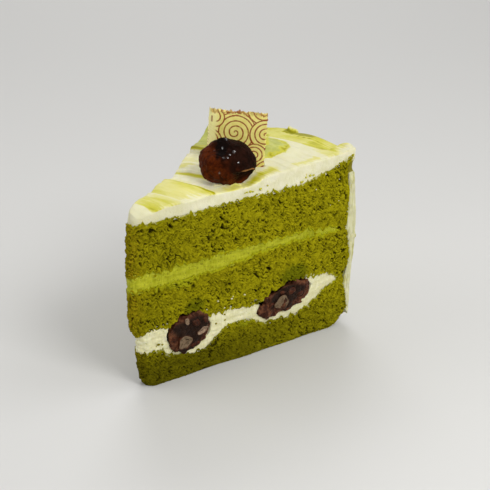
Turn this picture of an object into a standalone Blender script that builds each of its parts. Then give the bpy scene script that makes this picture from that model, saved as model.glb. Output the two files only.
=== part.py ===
"""A slice of matcha sponge layer cake, cut as a wedge.

Three layers of sponge hold a layer of white cream with two rolls of sweet adzuki bean
paste, and a thinner layer of matcha cream. White icing covers the top and the round back.
A glazed chestnut and a thin printed chocolate plaque stand on the icing.

Profiles are written in millimetres and scaled once, where vertices are placed. Distances
named s are measured from the middle of the whole cake, where the two cut faces would meet,
and v runs across the slice, from -1 at one cut face to +1 at the other.
"""
import math

import bmesh
import bpy
from mathutils import Matrix, Vector, noise

MM = 0.001
GAP = 0.3                     # clearance between pieces that touch
BACK_GAP = 0.7                # clearance behind the icing on the back, where the sponges are uneven
HALF_ANGLE = math.radians(16.9)
CAKE_RADIUS = 123.0           # middle of the cake to the outside of the icing
SPONGE_RADIUS = 119.0
TIP_START = 9.0               # nominal distance of the tip's end
TIP_BLEND = 24.0              # where the rounded tip has become part of the plain wedge
STEP = 3.4                    # distance between stations along the slice
CLOSE_STEP = 1.2              # least distance between the last stations
ACROSS = 6                    # divisions across a layer
SPONGE_STATIONS = 33
CREAM_STATIONS = 31
ICING_STATIONS = 34
ICING_ACROSS = 14
BACK_STATIONS = 11

# Profiles along the slice: (distance from the middle, height)
SPONGE_LOW_TOP = ((8, 20), (14, 17.5), (28, 12), (37, 10.4), (56, 19.6), (63, 19.6), (75, 14.1),
                  (86, 13.7), (120, 26.4))
SPONGE_MID_FOOT = ((8, 26.2), (22, 26), (31, 31.2), (38.5, 30.6), (46, 24.3), (66, 24.4), (72, 26.3),
                   (86, 31.4), (104, 30.8), (118, 26.2))
SPONGE_MID_TOP = ((8, 47.9), (48, 47.9), (60, 49.3), (84, 50.9), (104, 50.3), (120, 50.4))
SPONGE_HIGH_FOOT = ((8, 53.9), (60, 54.4), (92, 54.1), (112, 52.6), (120, 50.7))
SPONGE_TOP_HEIGHT = 77.4
SPONGE_TOP_FLARE = (88.0, 33.0, 8.2)      # starts at, runs for, rises by, as a parabola
FAR_FLARE = 0.6               # share of that rise at the far cut face
WHITE_CREAM_END = 114.5
MATCHA_CREAM_END = 113.0
LAYER_WAVE = 0.5              # how far a layer wanders towards the far cut face

# Profiles up the slice: (height, radius)
TIP_RADII = ((0, 5.2), (9, 4.5), (18, 3.8), (25, 3.9), (29, 2.8), (50, 2.3), (74, 2.4), (82, 3.9),
             (88, 5.6))
SPONGE_RIM = ((0, 111), (5, 118.5), (8.5, 121), (18.5, 119.6), (25, 117.4), (29, 120.4), (35, 121.9),
              (41, 121.2), (48, 119.1), (54, 119.1), (62, 120.3), (70, 120.3), (76.5, 118.8), (79, 120.6),
              (86, 122))
ICING_RIM = ((6, 121.7), (20, 122.6), (29, 123.2), (40, 124.2), (47, 124.9), (56, 124.9), (69, 124.1),
             (79, 122.6), (86, 123.4), (90, 122.6))
ICING_FULLER = 0.5            # extra thickness on the back away from the near cut face
ICING_THINNEST = 0.8
COAT_FOOT = 6.6               # height at which the icing on the back ends
RIM_DROP = 1.6                # the back of the icing starts this far below its top
RIM_ROUNDING = 0.7
FACE_WAVES = (0.25, 0.2)
FOOT_TUCK = 1.0               # the bottom edge is rounded in by this much
FOOT_TUCK_HEIGHT = 3.0

# Icing top along its two cut edges, and the spatula strokes that step up towards the rim
ICING_NEAR = ((8, 82.4), (64, 82.4), (78, 85.2), (95, 86.4), (112, 87), (123, 89))
ICING_FAR = ((8, 83), (56, 82.2), (66, 85.2), (90, 86.8), (123, 85.8))
STROKES = ((17, 0.9, 16), (35, 1.8, 20), (58, 1.6, 22), (72, 1.6, 26))    # where, how high, how long
STROKE_RAMP = 3.5
STROKE_SLANT = 2.5
STROKE_NEAR = 0.25            # share of a stroke's height left at the near cut face
SWIRL_FROM = Vector((97, -15))
SWIRL_TO = Vector((91, 27))
SWIRL_HEIGHTS = (2.5, 7.0)
SWIRL_WIDTH = 7.5
SWIRL_FADE = 0.3
RIM_FLICK = (121.0, 5.0, 2.2, 5.0)        # x, y, height, radius

# Rolls of bean paste: middle (s, z), half sizes, rise per mm, squareness, and beans (x, z, size) at the cuts
INNER_ROLL = dict(middle=(33.4, 21.5), half=(10.6, 8.8), slope=-0.02, power=2.2,
                  beans=((-2.6, -2.6, 3.6), (7.4, 1.2, 2.6), (-1.4, 6.0, 2.4)))
OUTER_ROLL = dict(middle=(84.3, 23.4), half=(14.8, 6.3), slope=0.2, power=2.4,
                  beans=((-1.2, -2.2, 3.6), (8.0, 1.4, 2.4), (-9.6, -2.2, 2.2)))
ROLL_CLEARANCE = 0.75         # sponge draped over a roll keeps this far from it
ROLL_SIDES = 22
ROLL_RINGS = 14
ROLL_END_FILL = (0.0, 0.42, 0.78, 1.0)    # radii of the rings that close a flat end
ROLL_LUMPS = 0.25
BEAN_BULGE = 0.9
BED_GAP = 0.1                 # extra clearance of the rolls' beds in the cream
BED_OVERRUN = 4.0
BED_CHIMNEY = 12.0            # opens the beds upwards, to the sponge that lies on the rolls

# The camera-side direction that the plaque and the chestnut face, seen from above
FACING = math.radians(38.9)
AWAY = Vector((math.cos(FACING), math.sin(FACING), 0))
ASIDE = Vector((math.sin(FACING), -math.cos(FACING), 0))
UP = Vector((0, 0, 1))

NUT_FOOT = Vector((60.2, -8.2, 82.6))
NUT_HALF = Vector((11.8, 9.4, 9.8))
NUT_PAD_RADIUS = 7.5
NUT_PAD_BLEND = 5.0
NUT_SEAT = 0.93               # the chestnut's flat foot, as a share of its half height
NUT_PIT = (Vector((-0.2, -0.5, 0.84)), 0.17, 0.34)          # where, how deep, how wide
NUT_FOLD = (Vector((0.62, -0.62, -0.3)), 0.07, 0.22)
NUT_GROOVES = (math.radians(-128), math.radians(-96), math.radians(170))
NUT_GROOVE_SIZE = (0.055, 0.16)

PLAQUE_FOOT = Vector((78.7, -13.2, 85.0))    # right end of the plaque where it enters the icing
PLAQUE_WIDTH = 26.0
PLAQUE_HEIGHT = 24.6
PLAQUE_SUNK = 2.6
PLAQUE_THICK = 1.2
PLAQUE_CRUMBLE = (0.45, 0.25)
PLAQUE_COLUMNS = 18
SLOT_TOP = 12.0
PLAQUE_LEAN = math.radians(4.1)
CURL_START = 20.3
CURL_RADIUS = 4.6


def smooth(t):
    t = min(1.0, max(0.0, t))
    return t * t * (3 - 2 * t)


def mix(a, b, t):
    return a + (b - a) * t


def profile(knots, x):
    """Height of a smooth wave through the knots."""
    if x <= knots[0][0]:
        return knots[0][1]
    for (x0, y0), (x1, y1) in zip(knots, knots[1:]):
        if x <= x1:
            return mix(y0, y1, smooth((x - x0) / (x1 - x0)))
    return knots[-1][1]


def roll_edge(roll, s, side):
    """Height of a roll's outline at s, on its upper (+1) or lower (-1) side."""
    x = (s - roll["middle"][0]) / roll["half"][0]
    if abs(x) >= 1:
        return None
    bulge = (1 - abs(x) ** roll["power"]) ** (1 / roll["power"])
    return roll["middle"][1] + roll["slope"] * (s - roll["middle"][0]) + side * roll["half"][1] * bulge


def low_top(s, v):
    return profile(SPONGE_LOW_TOP, s) + LAYER_WAVE * math.sin(0.09 * s + 2) * smooth((v + 1) / 2)


def mid_foot(s, v):
    """Underside of the middle sponge, which drapes over the rolls."""
    height = profile(SPONGE_MID_FOOT, s)
    for roll in (INNER_ROLL, OUTER_ROLL):
        edge = roll_edge(roll, s, 1)
        if edge is not None:
            height = max(height, edge + ROLL_CLEARANCE)
    return max(height, low_top(s, v) + GAP)


def mid_top(s, v):
    return profile(SPONGE_MID_TOP, s) + LAYER_WAVE * math.sin(0.07 * s) * smooth((v + 1) / 2)


def high_foot(s, v):
    height = profile(SPONGE_HIGH_FOOT, s) + LAYER_WAVE * math.sin(0.06 * s) * smooth((v + 1) / 2)
    return max(height, mid_top(s, v) + GAP)


def high_top(s, v):
    start, run, rise = SPONGE_TOP_FLARE
    share = mix(1.0, FAR_FLARE, smooth((v + 1) / 2))
    return SPONGE_TOP_HEIGHT + share * rise * (max(0.0, s - start) / run) ** 2


def stroke_height(s, v):
    """Steps that the spatula left, strongest at the far cut face."""
    height = 0.0
    for start, rise, length in STROKES:
        x = s - start + STROKE_SLANT * v
        height += rise * smooth(x / STROKE_RAMP) * (1 - smooth((x - STROKE_RAMP) / length))
    return height * mix(STROKE_NEAR, 1.0, smooth((v + 1) / 2))


def swirl_height(x, y):
    """Raised swirl of icing behind the plaque."""
    along = SWIRL_TO - SWIRL_FROM
    offset = Vector((x, y)) - SWIRL_FROM
    t = offset.dot(along) / along.length_squared
    across = abs(offset.x * along.y - offset.y * along.x) / along.length
    ends = smooth(t / SWIRL_FADE + 0.4) * (1 - smooth((t - 1) / SWIRL_FADE + 0.17))
    return mix(*SWIRL_HEIGHTS, min(1.0, max(0.0, t))) * ends * math.exp(-(across / SWIRL_WIDTH) ** 2)


def icing_top(x, y):
    s = math.hypot(x, y)
    v = max(-1.0, min(1.0, math.atan2(y, x) / HALF_ANGLE)) if s > 1 else 0.0
    height = mix(profile(ICING_NEAR, s), profile(ICING_FAR, s), smooth((v + 1) / 2)) + stroke_height(s, v)
    height += swirl_height(x, y)
    flick_x, flick_y, flick_height, flick_radius = RIM_FLICK
    height += flick_height * math.exp(-((x - flick_x) ** 2 + (y - flick_y) ** 2) / flick_radius ** 2)
    pad = smooth((math.hypot(x - NUT_FOOT.x, y - NUT_FOOT.y) - NUT_PAD_RADIUS) / NUT_PAD_BLEND)
    return mix(NUT_FOOT.z - GAP, height, pad)


def icing_height(s, v):
    return icing_top(s * math.cos(v * HALF_ANGLE), s * math.sin(v * HALF_ANGLE))


def icing_rim(z, v):
    """Outside of the icing on the back; it is thinnest at the near cut face."""
    fuller = ICING_FULLER * smooth((v + 1) / 1.2) * (1 + math.sin(0.11 * z + 2.4 * v))
    return max(profile(ICING_RIM, z) + fuller, sponge_end(z) + BACK_GAP + ICING_THINNEST)


def face_relief(s, z):
    """Low waves of a cut face, with the bottom edge rounded in."""
    waves = FACE_WAVES[0] * math.sin(s / 9 + z / 7) + FACE_WAVES[1] * math.sin(s / 4.3 - z / 11)
    return waves - FOOT_TUCK * (1 - smooth(z / FOOT_TUCK_HEIGHT))


def station(k, last, s_end):
    """Distance of station k: stations are STEP apart, and the last ones close up to s_end."""
    return min(TIP_START + STEP * k, s_end - CLOSE_STEP * (last - k)) if k < last else s_end


def plan_point(s, v, z, relief=0.0):
    """Place at nominal distance s and v across the wedge, at height z.

    At TIP_START the points lie on the round tip, and from TIP_BLEND on they lie on arcs
    about the middle of the cake."""
    radius = profile(TIP_RADII, z)
    turn = math.pi - v * (math.pi / 2 - HALF_ANGLE)
    tip = Vector((radius / math.sin(HALF_ANGLE) + radius * math.cos(turn), radius * math.sin(turn), 0))
    swing = v * HALF_ANGLE
    arc = Vector((math.cos(swing), math.sin(swing), 0)) * max(s, TIP_BLEND)
    place = tip.lerp(arc, min(1.0, (s - TIP_START) / (TIP_BLEND - TIP_START)))
    if abs(v) > 0.999 or s <= TIP_START:
        outward = Vector((math.cos(turn), math.sin(turn), 0))
        place += outward * (face_relief(place.length, z) + relief)
    place.z = z
    return place


def settle(k, last, v, height, end, relief=0.0):
    """Place of station k on a surface of the given height(s, v), whose outer radius is end(z)."""
    z = height(station(k, last, CAKE_RADIUS), v)
    for _ in range(3):
        s = plan_point(station(k, last, end(z)), v, z).to_2d().length
        z = height(s, v)
    return plan_point(station(k, last, end(z)), v, z, relief)


def unit_block(along, across, rows):
    """A closed block from (0, 0, 0) to (1, 1, 1) whose top, foot and sides are grids."""
    bm = bmesh.new()
    half = Matrix.Translation((0.5, 0.5, 0))
    bmesh.ops.create_grid(bm, x_segments=along, y_segments=across, size=0.5, matrix=half)
    raised = bmesh.ops.extrude_face_region(bm, geom=bm.faces[:])["geom"]
    bmesh.ops.translate(bm, vec=UP, verts=[item for item in raised if isinstance(item, bmesh.types.BMVert)])
    if rows > 1:
        uprights = [edge for edge in bm.edges if abs(edge.verts[0].co.z - edge.verts[1].co.z) > 0.5]
        bmesh.ops.subdivide_edges(bm, edges=uprights, cuts=rows - 1)
    bmesh.ops.recalc_face_normals(bm, faces=bm.faces[:])
    return bm


def linear(*srgb):
    """Linear colour of an 8-bit sRGB one."""
    return tuple((c / 255 / 12.92 if c < 11 else ((c / 255 + 0.055) / 1.055) ** 2.4) for c in srgb) + (1.0,)


def material(name, srgb, roughness, metallic=0.0):
    mat = bpy.data.materials.new(name)
    mat.use_nodes = True
    shader = mat.node_tree.nodes["Principled BSDF"]
    shader.inputs["Base Color"].default_value = linear(*srgb)
    shader.inputs["Roughness"].default_value = roughness
    shader.inputs["Metallic"].default_value = metallic
    mat.diffuse_color = linear(*srgb)
    return mat


def add_piece(name, bm, mat, parent):
    """Turn a bmesh in millimetres into a named object in metres."""
    bmesh.ops.scale(bm, vec=(MM, MM, MM), verts=bm.verts)
    bmesh.ops.triangulate(bm, faces=bm.faces[:])
    bmesh.ops.recalc_face_normals(bm, faces=bm.faces[:])
    mesh = bpy.data.meshes.new(name)
    bm.to_mesh(mesh)
    bm.free()
    mesh.materials.append(mat)
    mesh.shade_smooth()
    mesh.set_sharp_from_angle(angle=math.radians(50))
    piece = bpy.data.objects.new(name, mesh)
    bpy.context.scene.collection.objects.link(piece)
    piece.parent = parent
    return piece


def layer(foot, top, end, stations, rows, row_bias=1.0, relief=0.0):
    """A wedge-shaped layer between two height functions of (s, v).

    end is the outer radius as a function of height; relief moves the cut faces out or in."""
    bm = unit_block(stations, ACROSS, rows)
    for vert in bm.verts:
        k, v, w = round(vert.co.x * stations), vert.co.y * 2 - 1, vert.co.z ** row_bias
        vert.co = settle(k, stations, v, lambda s, v, w=w: mix(foot(s, v), top(s, v), w), end, relief)
    return bm


def sponge_end(z):
    return profile(SPONGE_RIM, z)


def make_sponges(root):
    crumb = material("matcha_sponge", (140, 134, 22), 0.9)
    low = layer(lambda s, v: 0.0, low_top, sponge_end, SPONGE_STATIONS, 4, row_bias=1.6)
    mid = layer(mid_foot, mid_top, sponge_end, SPONGE_STATIONS, 3)
    high = layer(high_foot, high_top, sponge_end, SPONGE_STATIONS, 4)
    return [add_piece("sponge_bottom", low, crumb, root), add_piece("sponge_middle", mid, crumb, root),
            add_piece("sponge_top", high, crumb, root)]


def roll_mesh(roll, grow=0.0, overrun=0.0, chimney=0.0):
    """A roll of paste along an arc of the cake, from a ball whose rings are laid out anew.

    The first and last rings fill the flat ends, where the beans bulge. grow and overrun
    enlarge it, and chimney raises its upper part, for cutting its place in the cream."""
    bm = bmesh.new()
    bmesh.ops.create_uvsphere(bm, u_segments=ROLL_SIDES, v_segments=ROLL_RINGS, radius=1.0)
    last = len(ROLL_END_FILL) - 1
    s_mid, z_mid = roll["middle"]
    for vert in bm.verts:
        ring = round(math.acos(max(-1.0, min(1.0, vert.co.z))) / math.pi * ROLL_RINGS)
        around = math.atan2(vert.co.y, vert.co.x)
        from_end = min(ring, ROLL_RINGS - ring)
        fill = ROLL_END_FILL[min(from_end, last)]
        run = min(1.0, max(0.0, (ring - last) / (ROLL_RINGS - 2 * last)))
        cosine, sine = math.cos(around), math.sin(around)
        power = 2 / roll["power"]
        x = fill * (roll["half"][0] + grow) * math.copysign(abs(cosine) ** power, cosine)
        rise = fill * (roll["half"][1] + grow) * math.copysign(abs(sine) ** power, sine)
        if chimney and sine > 0.75:
            rise += chimney
        z = z_mid + rise + roll["slope"] * x
        lumps = 0.0
        if not grow:
            lumps = ROLL_LUMPS * fill * (math.sin(3 * around + 9 * run) - 1)
        x += lumps * cosine
        z += lumps * sine
        at_end = from_end <= last
        bulge = 0.0
        if at_end and not grow:
            bulge = ROLL_LUMPS
            for bean_x, bean_z, size in roll["beans"]:
                apart = math.hypot(x - bean_x, rise - bean_z)
                bulge += BEAN_BULGE * math.exp(-1.6 * (apart / size) ** 2)
        bulge += overrun if at_end else 0.0
        side = -1 if ring <= ROLL_RINGS / 2 else 1
        v = mix(-1.0, 1.0, run)
        s = s_mid + x
        place = Vector((s * math.cos(v * HALF_ANGLE), s * math.sin(v * HALF_ANGLE), z))
        if at_end:
            outward = Vector((-math.sin(HALF_ANGLE), side * math.cos(HALF_ANGLE), 0))
            place += outward * bulge
        vert.co = place
    bmesh.ops.recalc_face_normals(bm, faces=bm.faces[:])
    return bm


def make_rolls(root):
    paste = material("adzuki_paste", (84, 44, 44), 0.5)
    return [add_piece("adzuki_inner", roll_mesh(INNER_ROLL), paste, root),
            add_piece("adzuki_outer", roll_mesh(OUTER_ROLL), paste, root)]


def cut(piece, tool_name, bm):
    """Subtract a closed bmesh from a piece and apply the result."""
    tool = add_piece(tool_name, bm, piece.data.materials[0], piece.parent)
    step = piece.modifiers.new(tool_name, "BOOLEAN")
    step.operation = "DIFFERENCE"
    step.solver = "EXACT"
    step.object = tool
    bpy.context.view_layer.update()
    shape = bpy.data.meshes.new_from_object(piece.evaluated_get(bpy.context.evaluated_depsgraph_get()))
    piece.modifiers.clear()
    piece.data = shape
    bpy.data.objects.remove(tool)


def make_creams(root):
    white = material("white_cream", (226, 222, 184), 0.45)
    green = material("matcha_cream", (168, 176, 52), 0.5)
    low = layer(lambda s, v: low_top(s, v) + GAP, lambda s, v: mid_foot(s, v) - GAP,
                lambda z: WHITE_CREAM_END, CREAM_STATIONS, 2, relief=-0.2)
    high = layer(lambda s, v: mid_top(s, v) + GAP, lambda s, v: high_foot(s, v) - GAP,
                 lambda z: MATCHA_CREAM_END, CREAM_STATIONS, 2, relief=-0.1)
    cream = add_piece("cream_white", low, white, root)
    for name, roll in (("inner_bed", INNER_ROLL), ("outer_bed", OUTER_ROLL)):
        cut(cream, name, roll_mesh(roll, grow=GAP + BED_GAP, overrun=BED_OVERRUN, chimney=BED_CHIMNEY))
    return [cream, add_piece("cream_matcha", high, green, root)]


def icing_mesh():
    """Icing over the top and down the back, as one bent sheet of uneven thickness."""
    bm = unit_block(ICING_STATIONS + BACK_STATIONS, ICING_ACROSS, 1)
    for vert in bm.verts:
        k = round(vert.co.x * (ICING_STATIONS + BACK_STATIONS))
        v, outside = vert.co.y * 2 - 1, vert.co.z > 0.5
        down = (k - ICING_STATIONS) / BACK_STATIONS
        if k > ICING_STATIONS and outside:
            z = mix(icing_height(CAKE_RADIUS, v) - RIM_DROP, COAT_FOOT, down)
            vert.co = plan_point(icing_rim(z, v), v, z)
        elif k > ICING_STATIONS:
            z = mix(high_top(SPONGE_RADIUS, v), COAT_FOOT + 0.8, down)
            vert.co = plan_point(sponge_end(z) + BACK_GAP, v, z)
        elif outside:
            vert.co = settle(k, ICING_STATIONS, v, icing_height,
                             lambda z, v=v: icing_rim(z, v) - RIM_ROUNDING)
            vert.co.z -= 0.5 if k == ICING_STATIONS else 0.8 * (1 - smooth(k))
        else:
            vert.co = settle(k, ICING_STATIONS, v, lambda s, v: high_top(s, v) + GAP,
                             lambda z: sponge_end(z) + BACK_GAP)
    return bm


def plaque_place(along, height, depth):
    """Point of the plaque: along its width from the right, up, and through its thickness."""
    lean = Matrix.Rotation(PLAQUE_LEAN, 3, AWAY)
    straight = min(along, CURL_START)
    turn = max(0.0, along - CURL_START) / CURL_RADIUS
    left = straight + (CURL_RADIUS + depth) * math.sin(turn)
    back = CURL_RADIUS * (1 - math.cos(turn)) - depth * math.cos(turn) + depth
    offset = lean @ (ASIDE * -left + UP * height)
    return PLAQUE_FOOT + offset + AWAY * (back - depth)


def plaque_mesh():
    bm = unit_block(PLAQUE_COLUMNS, 9, 1)
    for vert in bm.verts:
        along = vert.co.x * PLAQUE_WIDTH
        crumbled = PLAQUE_CRUMBLE[0] * noise.noise(Vector((along * 0.6, 0.3, 7.0)))
        crumbled += PLAQUE_CRUMBLE[1] * math.sin(along * 2.3)
        height = mix(-PLAQUE_SUNK, PLAQUE_HEIGHT + crumbled, vert.co.y)
        depth = (vert.co.z - 0.5) * PLAQUE_THICK
        vert.co = plaque_place(along, height, depth)
    bmesh.ops.recalc_face_normals(bm, faces=bm.faces[:])
    return bm


def slot_mesh():
    """The plaque's foot with clearance all round, to cut its slot in the icing."""
    bm = unit_block(PLAQUE_COLUMNS, 1, 1)
    for vert in bm.verts:
        along = mix(-GAP, PLAQUE_WIDTH + GAP, vert.co.x)
        height = mix(-PLAQUE_SUNK - GAP, SLOT_TOP, vert.co.y)
        depth = (vert.co.z - 0.5) * (PLAQUE_THICK + 2 * GAP)
        vert.co = plaque_place(along, height, depth)
    bmesh.ops.recalc_face_normals(bm, faces=bm.faces[:])
    return bm


def nut_mesh():
    """A candied chestnut: a squat ball with a pit on top, a fold of skin and grooves at its foot."""
    bm = bmesh.new()
    bmesh.ops.create_uvsphere(bm, u_segments=26, v_segments=16, radius=1.0)
    for vert in bm.verts:
        way = vert.co.normalized()
        size = 1.0 + 0.05 * (abs(way.x) ** 3 + abs(way.y) ** 3) + 0.035 * noise.noise(way * 1.6)
        for middle, depth, width in (NUT_PIT, NUT_FOLD):
            size -= depth * math.exp(-(way.angle(middle) / width) ** 2)
        turn = math.atan2(way.y, way.x)
        low = smooth((0.25 - way.z) / 0.6)
        for groove in NUT_GROOVES:
            swing = math.remainder(turn - groove, 2 * math.pi)
            size -= NUT_GROOVE_SIZE[0] * low * math.exp(-(swing / NUT_GROOVE_SIZE[1]) ** 2)
        local = Vector((way.x * NUT_HALF.x, way.y * NUT_HALF.y, way.z * NUT_HALF.z)) * size
        height = max(local.z, -NUT_HALF.z * NUT_SEAT) + NUT_HALF.z * NUT_SEAT
        vert.co = NUT_FOOT + ASIDE * local.x + AWAY * local.y + UP * height
    return bm


def make_top(root):
    cream = material("icing", (226, 224, 190), 0.5)
    chocolate = material("plaque_chocolate", (214, 204, 132), 0.4)
    glaze = material("chestnut_glaze", (74, 28, 12), 0.2)
    icing = add_piece("icing", icing_mesh(), cream, root)
    cut(icing, "plaque_slot", slot_mesh())
    plaque = add_piece("plaque", plaque_mesh(), chocolate, root)
    return [icing, plaque, add_piece("chestnut", nut_mesh(), glaze, root)]


def centre_on_base(root, pieces):
    """Put the middle of the bounding box's base at the origin."""
    corners = [piece.matrix_world @ Vector(corner) for piece in pieces for corner in piece.bound_box]
    low = Vector(map(min, *corners))
    high = Vector(map(max, *corners))
    root.location = (-(low.x + high.x) / 2, -(low.y + high.y) / 2, -low.z)
    print("middle of the cake at", tuple(round(c, 6) for c in root.location), "size", tuple(high - low))


def main():
    for old in list(bpy.data.objects):
        bpy.data.objects.remove(old, do_unlink=True)
    root = bpy.data.objects.new("slice", None)
    bpy.context.scene.collection.objects.link(root)
    pieces = make_sponges(root) + make_rolls(root) + make_creams(root) + make_top(root)
    bpy.context.view_layer.update()
    centre_on_base(root, pieces)
    for piece in pieces:
        print(piece.name, len(piece.data.polygons))


main()
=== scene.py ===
# %% [markdown]
# # A slice of matcha and adzuki shortcake
#
# This lesson dresses a plain model of a cake slice. The plain solids give every layer its
# size and place. Each cell takes one of them, or one topping, and gives it the surface that
# the real food has: open crumb, spread cream, bean paste, thin printed chocolate and syrup.
#
# Lengths are worked out in millimetres, because food is measured that way, and are scaled
# to metres when they go into a mesh.

# %% Load the solids
import math
import random

import bmesh
import bpy
import numpy as np
from mathutils import Matrix, Vector, noise
from mathutils.bvhtree import BVHTree


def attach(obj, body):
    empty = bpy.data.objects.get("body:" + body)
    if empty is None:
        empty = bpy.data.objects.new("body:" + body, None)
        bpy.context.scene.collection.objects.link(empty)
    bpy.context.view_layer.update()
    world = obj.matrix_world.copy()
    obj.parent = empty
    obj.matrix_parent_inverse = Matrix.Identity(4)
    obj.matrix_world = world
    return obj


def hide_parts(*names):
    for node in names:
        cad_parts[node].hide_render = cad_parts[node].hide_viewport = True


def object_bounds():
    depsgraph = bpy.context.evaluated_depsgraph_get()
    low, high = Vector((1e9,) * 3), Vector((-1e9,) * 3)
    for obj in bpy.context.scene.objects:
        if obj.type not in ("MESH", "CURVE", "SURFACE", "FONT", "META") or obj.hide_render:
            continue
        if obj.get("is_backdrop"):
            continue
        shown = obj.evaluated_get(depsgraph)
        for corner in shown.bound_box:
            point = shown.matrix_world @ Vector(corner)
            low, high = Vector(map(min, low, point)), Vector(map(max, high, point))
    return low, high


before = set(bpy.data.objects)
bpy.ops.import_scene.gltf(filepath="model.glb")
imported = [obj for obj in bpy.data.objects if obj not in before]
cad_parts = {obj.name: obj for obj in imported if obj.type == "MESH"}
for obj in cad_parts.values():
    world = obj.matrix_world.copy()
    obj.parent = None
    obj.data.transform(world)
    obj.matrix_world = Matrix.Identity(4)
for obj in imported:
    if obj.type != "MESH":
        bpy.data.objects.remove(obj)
cad_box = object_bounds()
print("solids:", ", ".join(sorted(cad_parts)))

# %% [markdown]
# The slice was cut from a round cake, so most shapes follow two measures: how far a point
# is from the middle of that cake, and how deep it lies behind a cut face. Both are worked
# out here for whole lists of points at once with numpy, which is much faster than a loop.

# %% Measures of the cake
MM = 0.001
MIDDLE = Vector((-65.38, -0.17, 0.0))      # middle of the whole cake
HALF_ANGLE = math.radians(16.9)            # half of the wedge
NEAR_WAY = Vector((math.cos(HALF_ANGLE), -math.sin(HALF_ANGLE), 0))
NEAR_IN = Vector((math.sin(HALF_ANGLE), math.cos(HALF_ANGLE), 0))
FAR_WAY = Vector((NEAR_WAY.x, -NEAR_WAY.y, 0))
FAR_IN = Vector((NEAR_IN.x, -NEAR_IN.y, 0))
FACING = math.radians(38.9)                # the way the toppings face, seen from above
AWAY = Vector((math.cos(FACING), math.sin(FACING), 0))
ASIDE = Vector((math.sin(FACING), -math.cos(FACING), 0))
UP = Vector((0, 0, 1))


def smooth(low, high, x):
    """From 0 to 1 as x goes from low to high, with no corners."""
    t = np.clip((x - low) / (high - low), 0, 1)
    return t * t * (3 - 2 * t)


def band(x, low, high, soft_low, soft_high):
    """1 between low and high, 0 outside, with soft edges."""
    return smooth(low - soft_low, low + soft_low, x) * smooth(high + soft_high, high - soft_high, x)


class Place:
    """Where points lie in the cake, in millimetres."""

    def __init__(self, points):
        self.points = points
        x, y, self.z = (points - np.array(MIDDLE)).T
        self.s = np.hypot(x, y)                                        # from the cake's middle
        self.along = x * NEAR_WAY.x + y * NEAR_WAY.y                   # along the near cut face
        self.deep = x * NEAR_IN.x + y * NEAR_IN.y                      # behind the near cut face
        self.far_deep = x * FAR_IN.x + y * FAR_IN.y                    # behind the far cut face
        self.turn = np.arctan2(y, x)
        self.radial = np.stack([x, y, 0 * x], 1) / np.maximum(self.s, 1e-6)[:, None]


# %% [markdown]
# The layers of a real slice aren't level. At the tip the cake sagged on its cream and the
# crumb was dragged outwards a little, and between the two bean rolls the cream pushed the
# sponge above it up. One function bends every layer alike, so crumb and cream still meet.

# %% How the layers settled
LIFT_BETWEEN_ROLLS = 2.2
TIP_TUCK = 1.6                             # the base is drawn down and out by this at the tip


def settled(points):
    """Where the points of a layer lie once the cake has sagged, in millimetres."""
    place = Place(points)
    # how far the underside and the top of the white cream go up; both sink at the very tip
    low = band(place.s, 17, 23, 3, 3) - 4.5 * smooth(13, 5.5, place.s)
    high = 1.2 * band(place.s, 12, 23, 2, 4) - 4.6 * smooth(11, 5.5, place.s)
    share = smooth(18, 27, place.z)
    between_rolls = smooth(43.5, 46.5, place.s) * smooth(72, 48, place.s)
    moved = points.copy()
    moved[:, 2] += (low + (high - low) * share) * smooth(8, 15, place.z) * smooth(42, 30, place.z)
    moved[:, 2] += LIFT_BETWEEN_ROLLS * between_rolls * band(place.z, 22.5, 29, 1.2, 4)
    tuck = TIP_TUCK * smooth(13, 6, place.s) * smooth(6, 2, place.z)
    moved[:, 2] = np.maximum(0, moved[:, 2] - tuck)
    # how far each level of the tip reaches out: bottom sponge, cream, middle sponge, base
    reach = 1.8 * smooth(20, 16, place.z) + smooth(17, 20, place.z) * smooth(29, 27, place.z)
    reach += 2.2 * smooth(27, 29, place.z) * smooth(48, 34, place.z)
    reach += smooth(26.5, 28, place.z) * smooth(38, 32, place.z)
    reach += TIP_TUCK * smooth(8, 2, place.z)
    moved[:, 0] -= reach * smooth(11, 4, place.s)
    return moved


# %% [markdown]
# A mesh hands its points over as one flat list of numbers, which is quick to read and to
# write. Values that the material needs later, such as how wet a spot is, are stored beside
# the points as attributes.

# %% Read, move and mark points
def points_of(mesh):
    flat = np.empty(len(mesh.vertices) * 3, np.float32)
    mesh.vertices.foreach_get("co", flat)
    return flat.reshape(-1, 3) / MM


def normals_of(mesh):
    flat = np.empty(len(mesh.vertices) * 3, np.float32)
    mesh.vertex_normals.foreach_get("vector", flat)
    return flat.reshape(-1, 3)


def move_points(mesh, points):
    mesh.vertices.foreach_set("co", (points * MM).astype(np.float32).ravel())
    mesh.update()


def store(mesh, name, values):
    """Keeps one number per point, for the material to read."""
    layer = mesh.attributes.get(name) or mesh.attributes.new(name, "FLOAT", "POINT")
    layer.data.foreach_set("value", np.asarray(values, np.float32))


def scattered(count, where, values):
    """A full list that holds the values where they belong, and 0 elsewhere."""
    full = np.zeros(count)
    full[where] = values
    return full


# %% [markdown]
# Food has no straight grid of faces, so the soft pieces are remade with the Remesh
# modifier: it fills a shape with small cubes and wraps a new even skin round it. A copy of
# a solid is merged first, since its triangles come in loose.

# %% New pieces and their skin
def fixed(piece):
    """Applies the piece's modifiers."""
    bpy.context.view_layer.update()
    shape = bpy.data.meshes.new_from_object(piece.evaluated_get(bpy.context.evaluated_depsgraph_get()))
    piece.modifiers.clear()
    piece.data = shape
    return piece


def new_piece(name, bm):
    mesh = bpy.data.meshes.new(name)
    bm.to_mesh(mesh)
    bm.free()
    piece = bpy.data.objects.new(name, mesh)
    bpy.context.scene.collection.objects.link(piece)
    return piece


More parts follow.
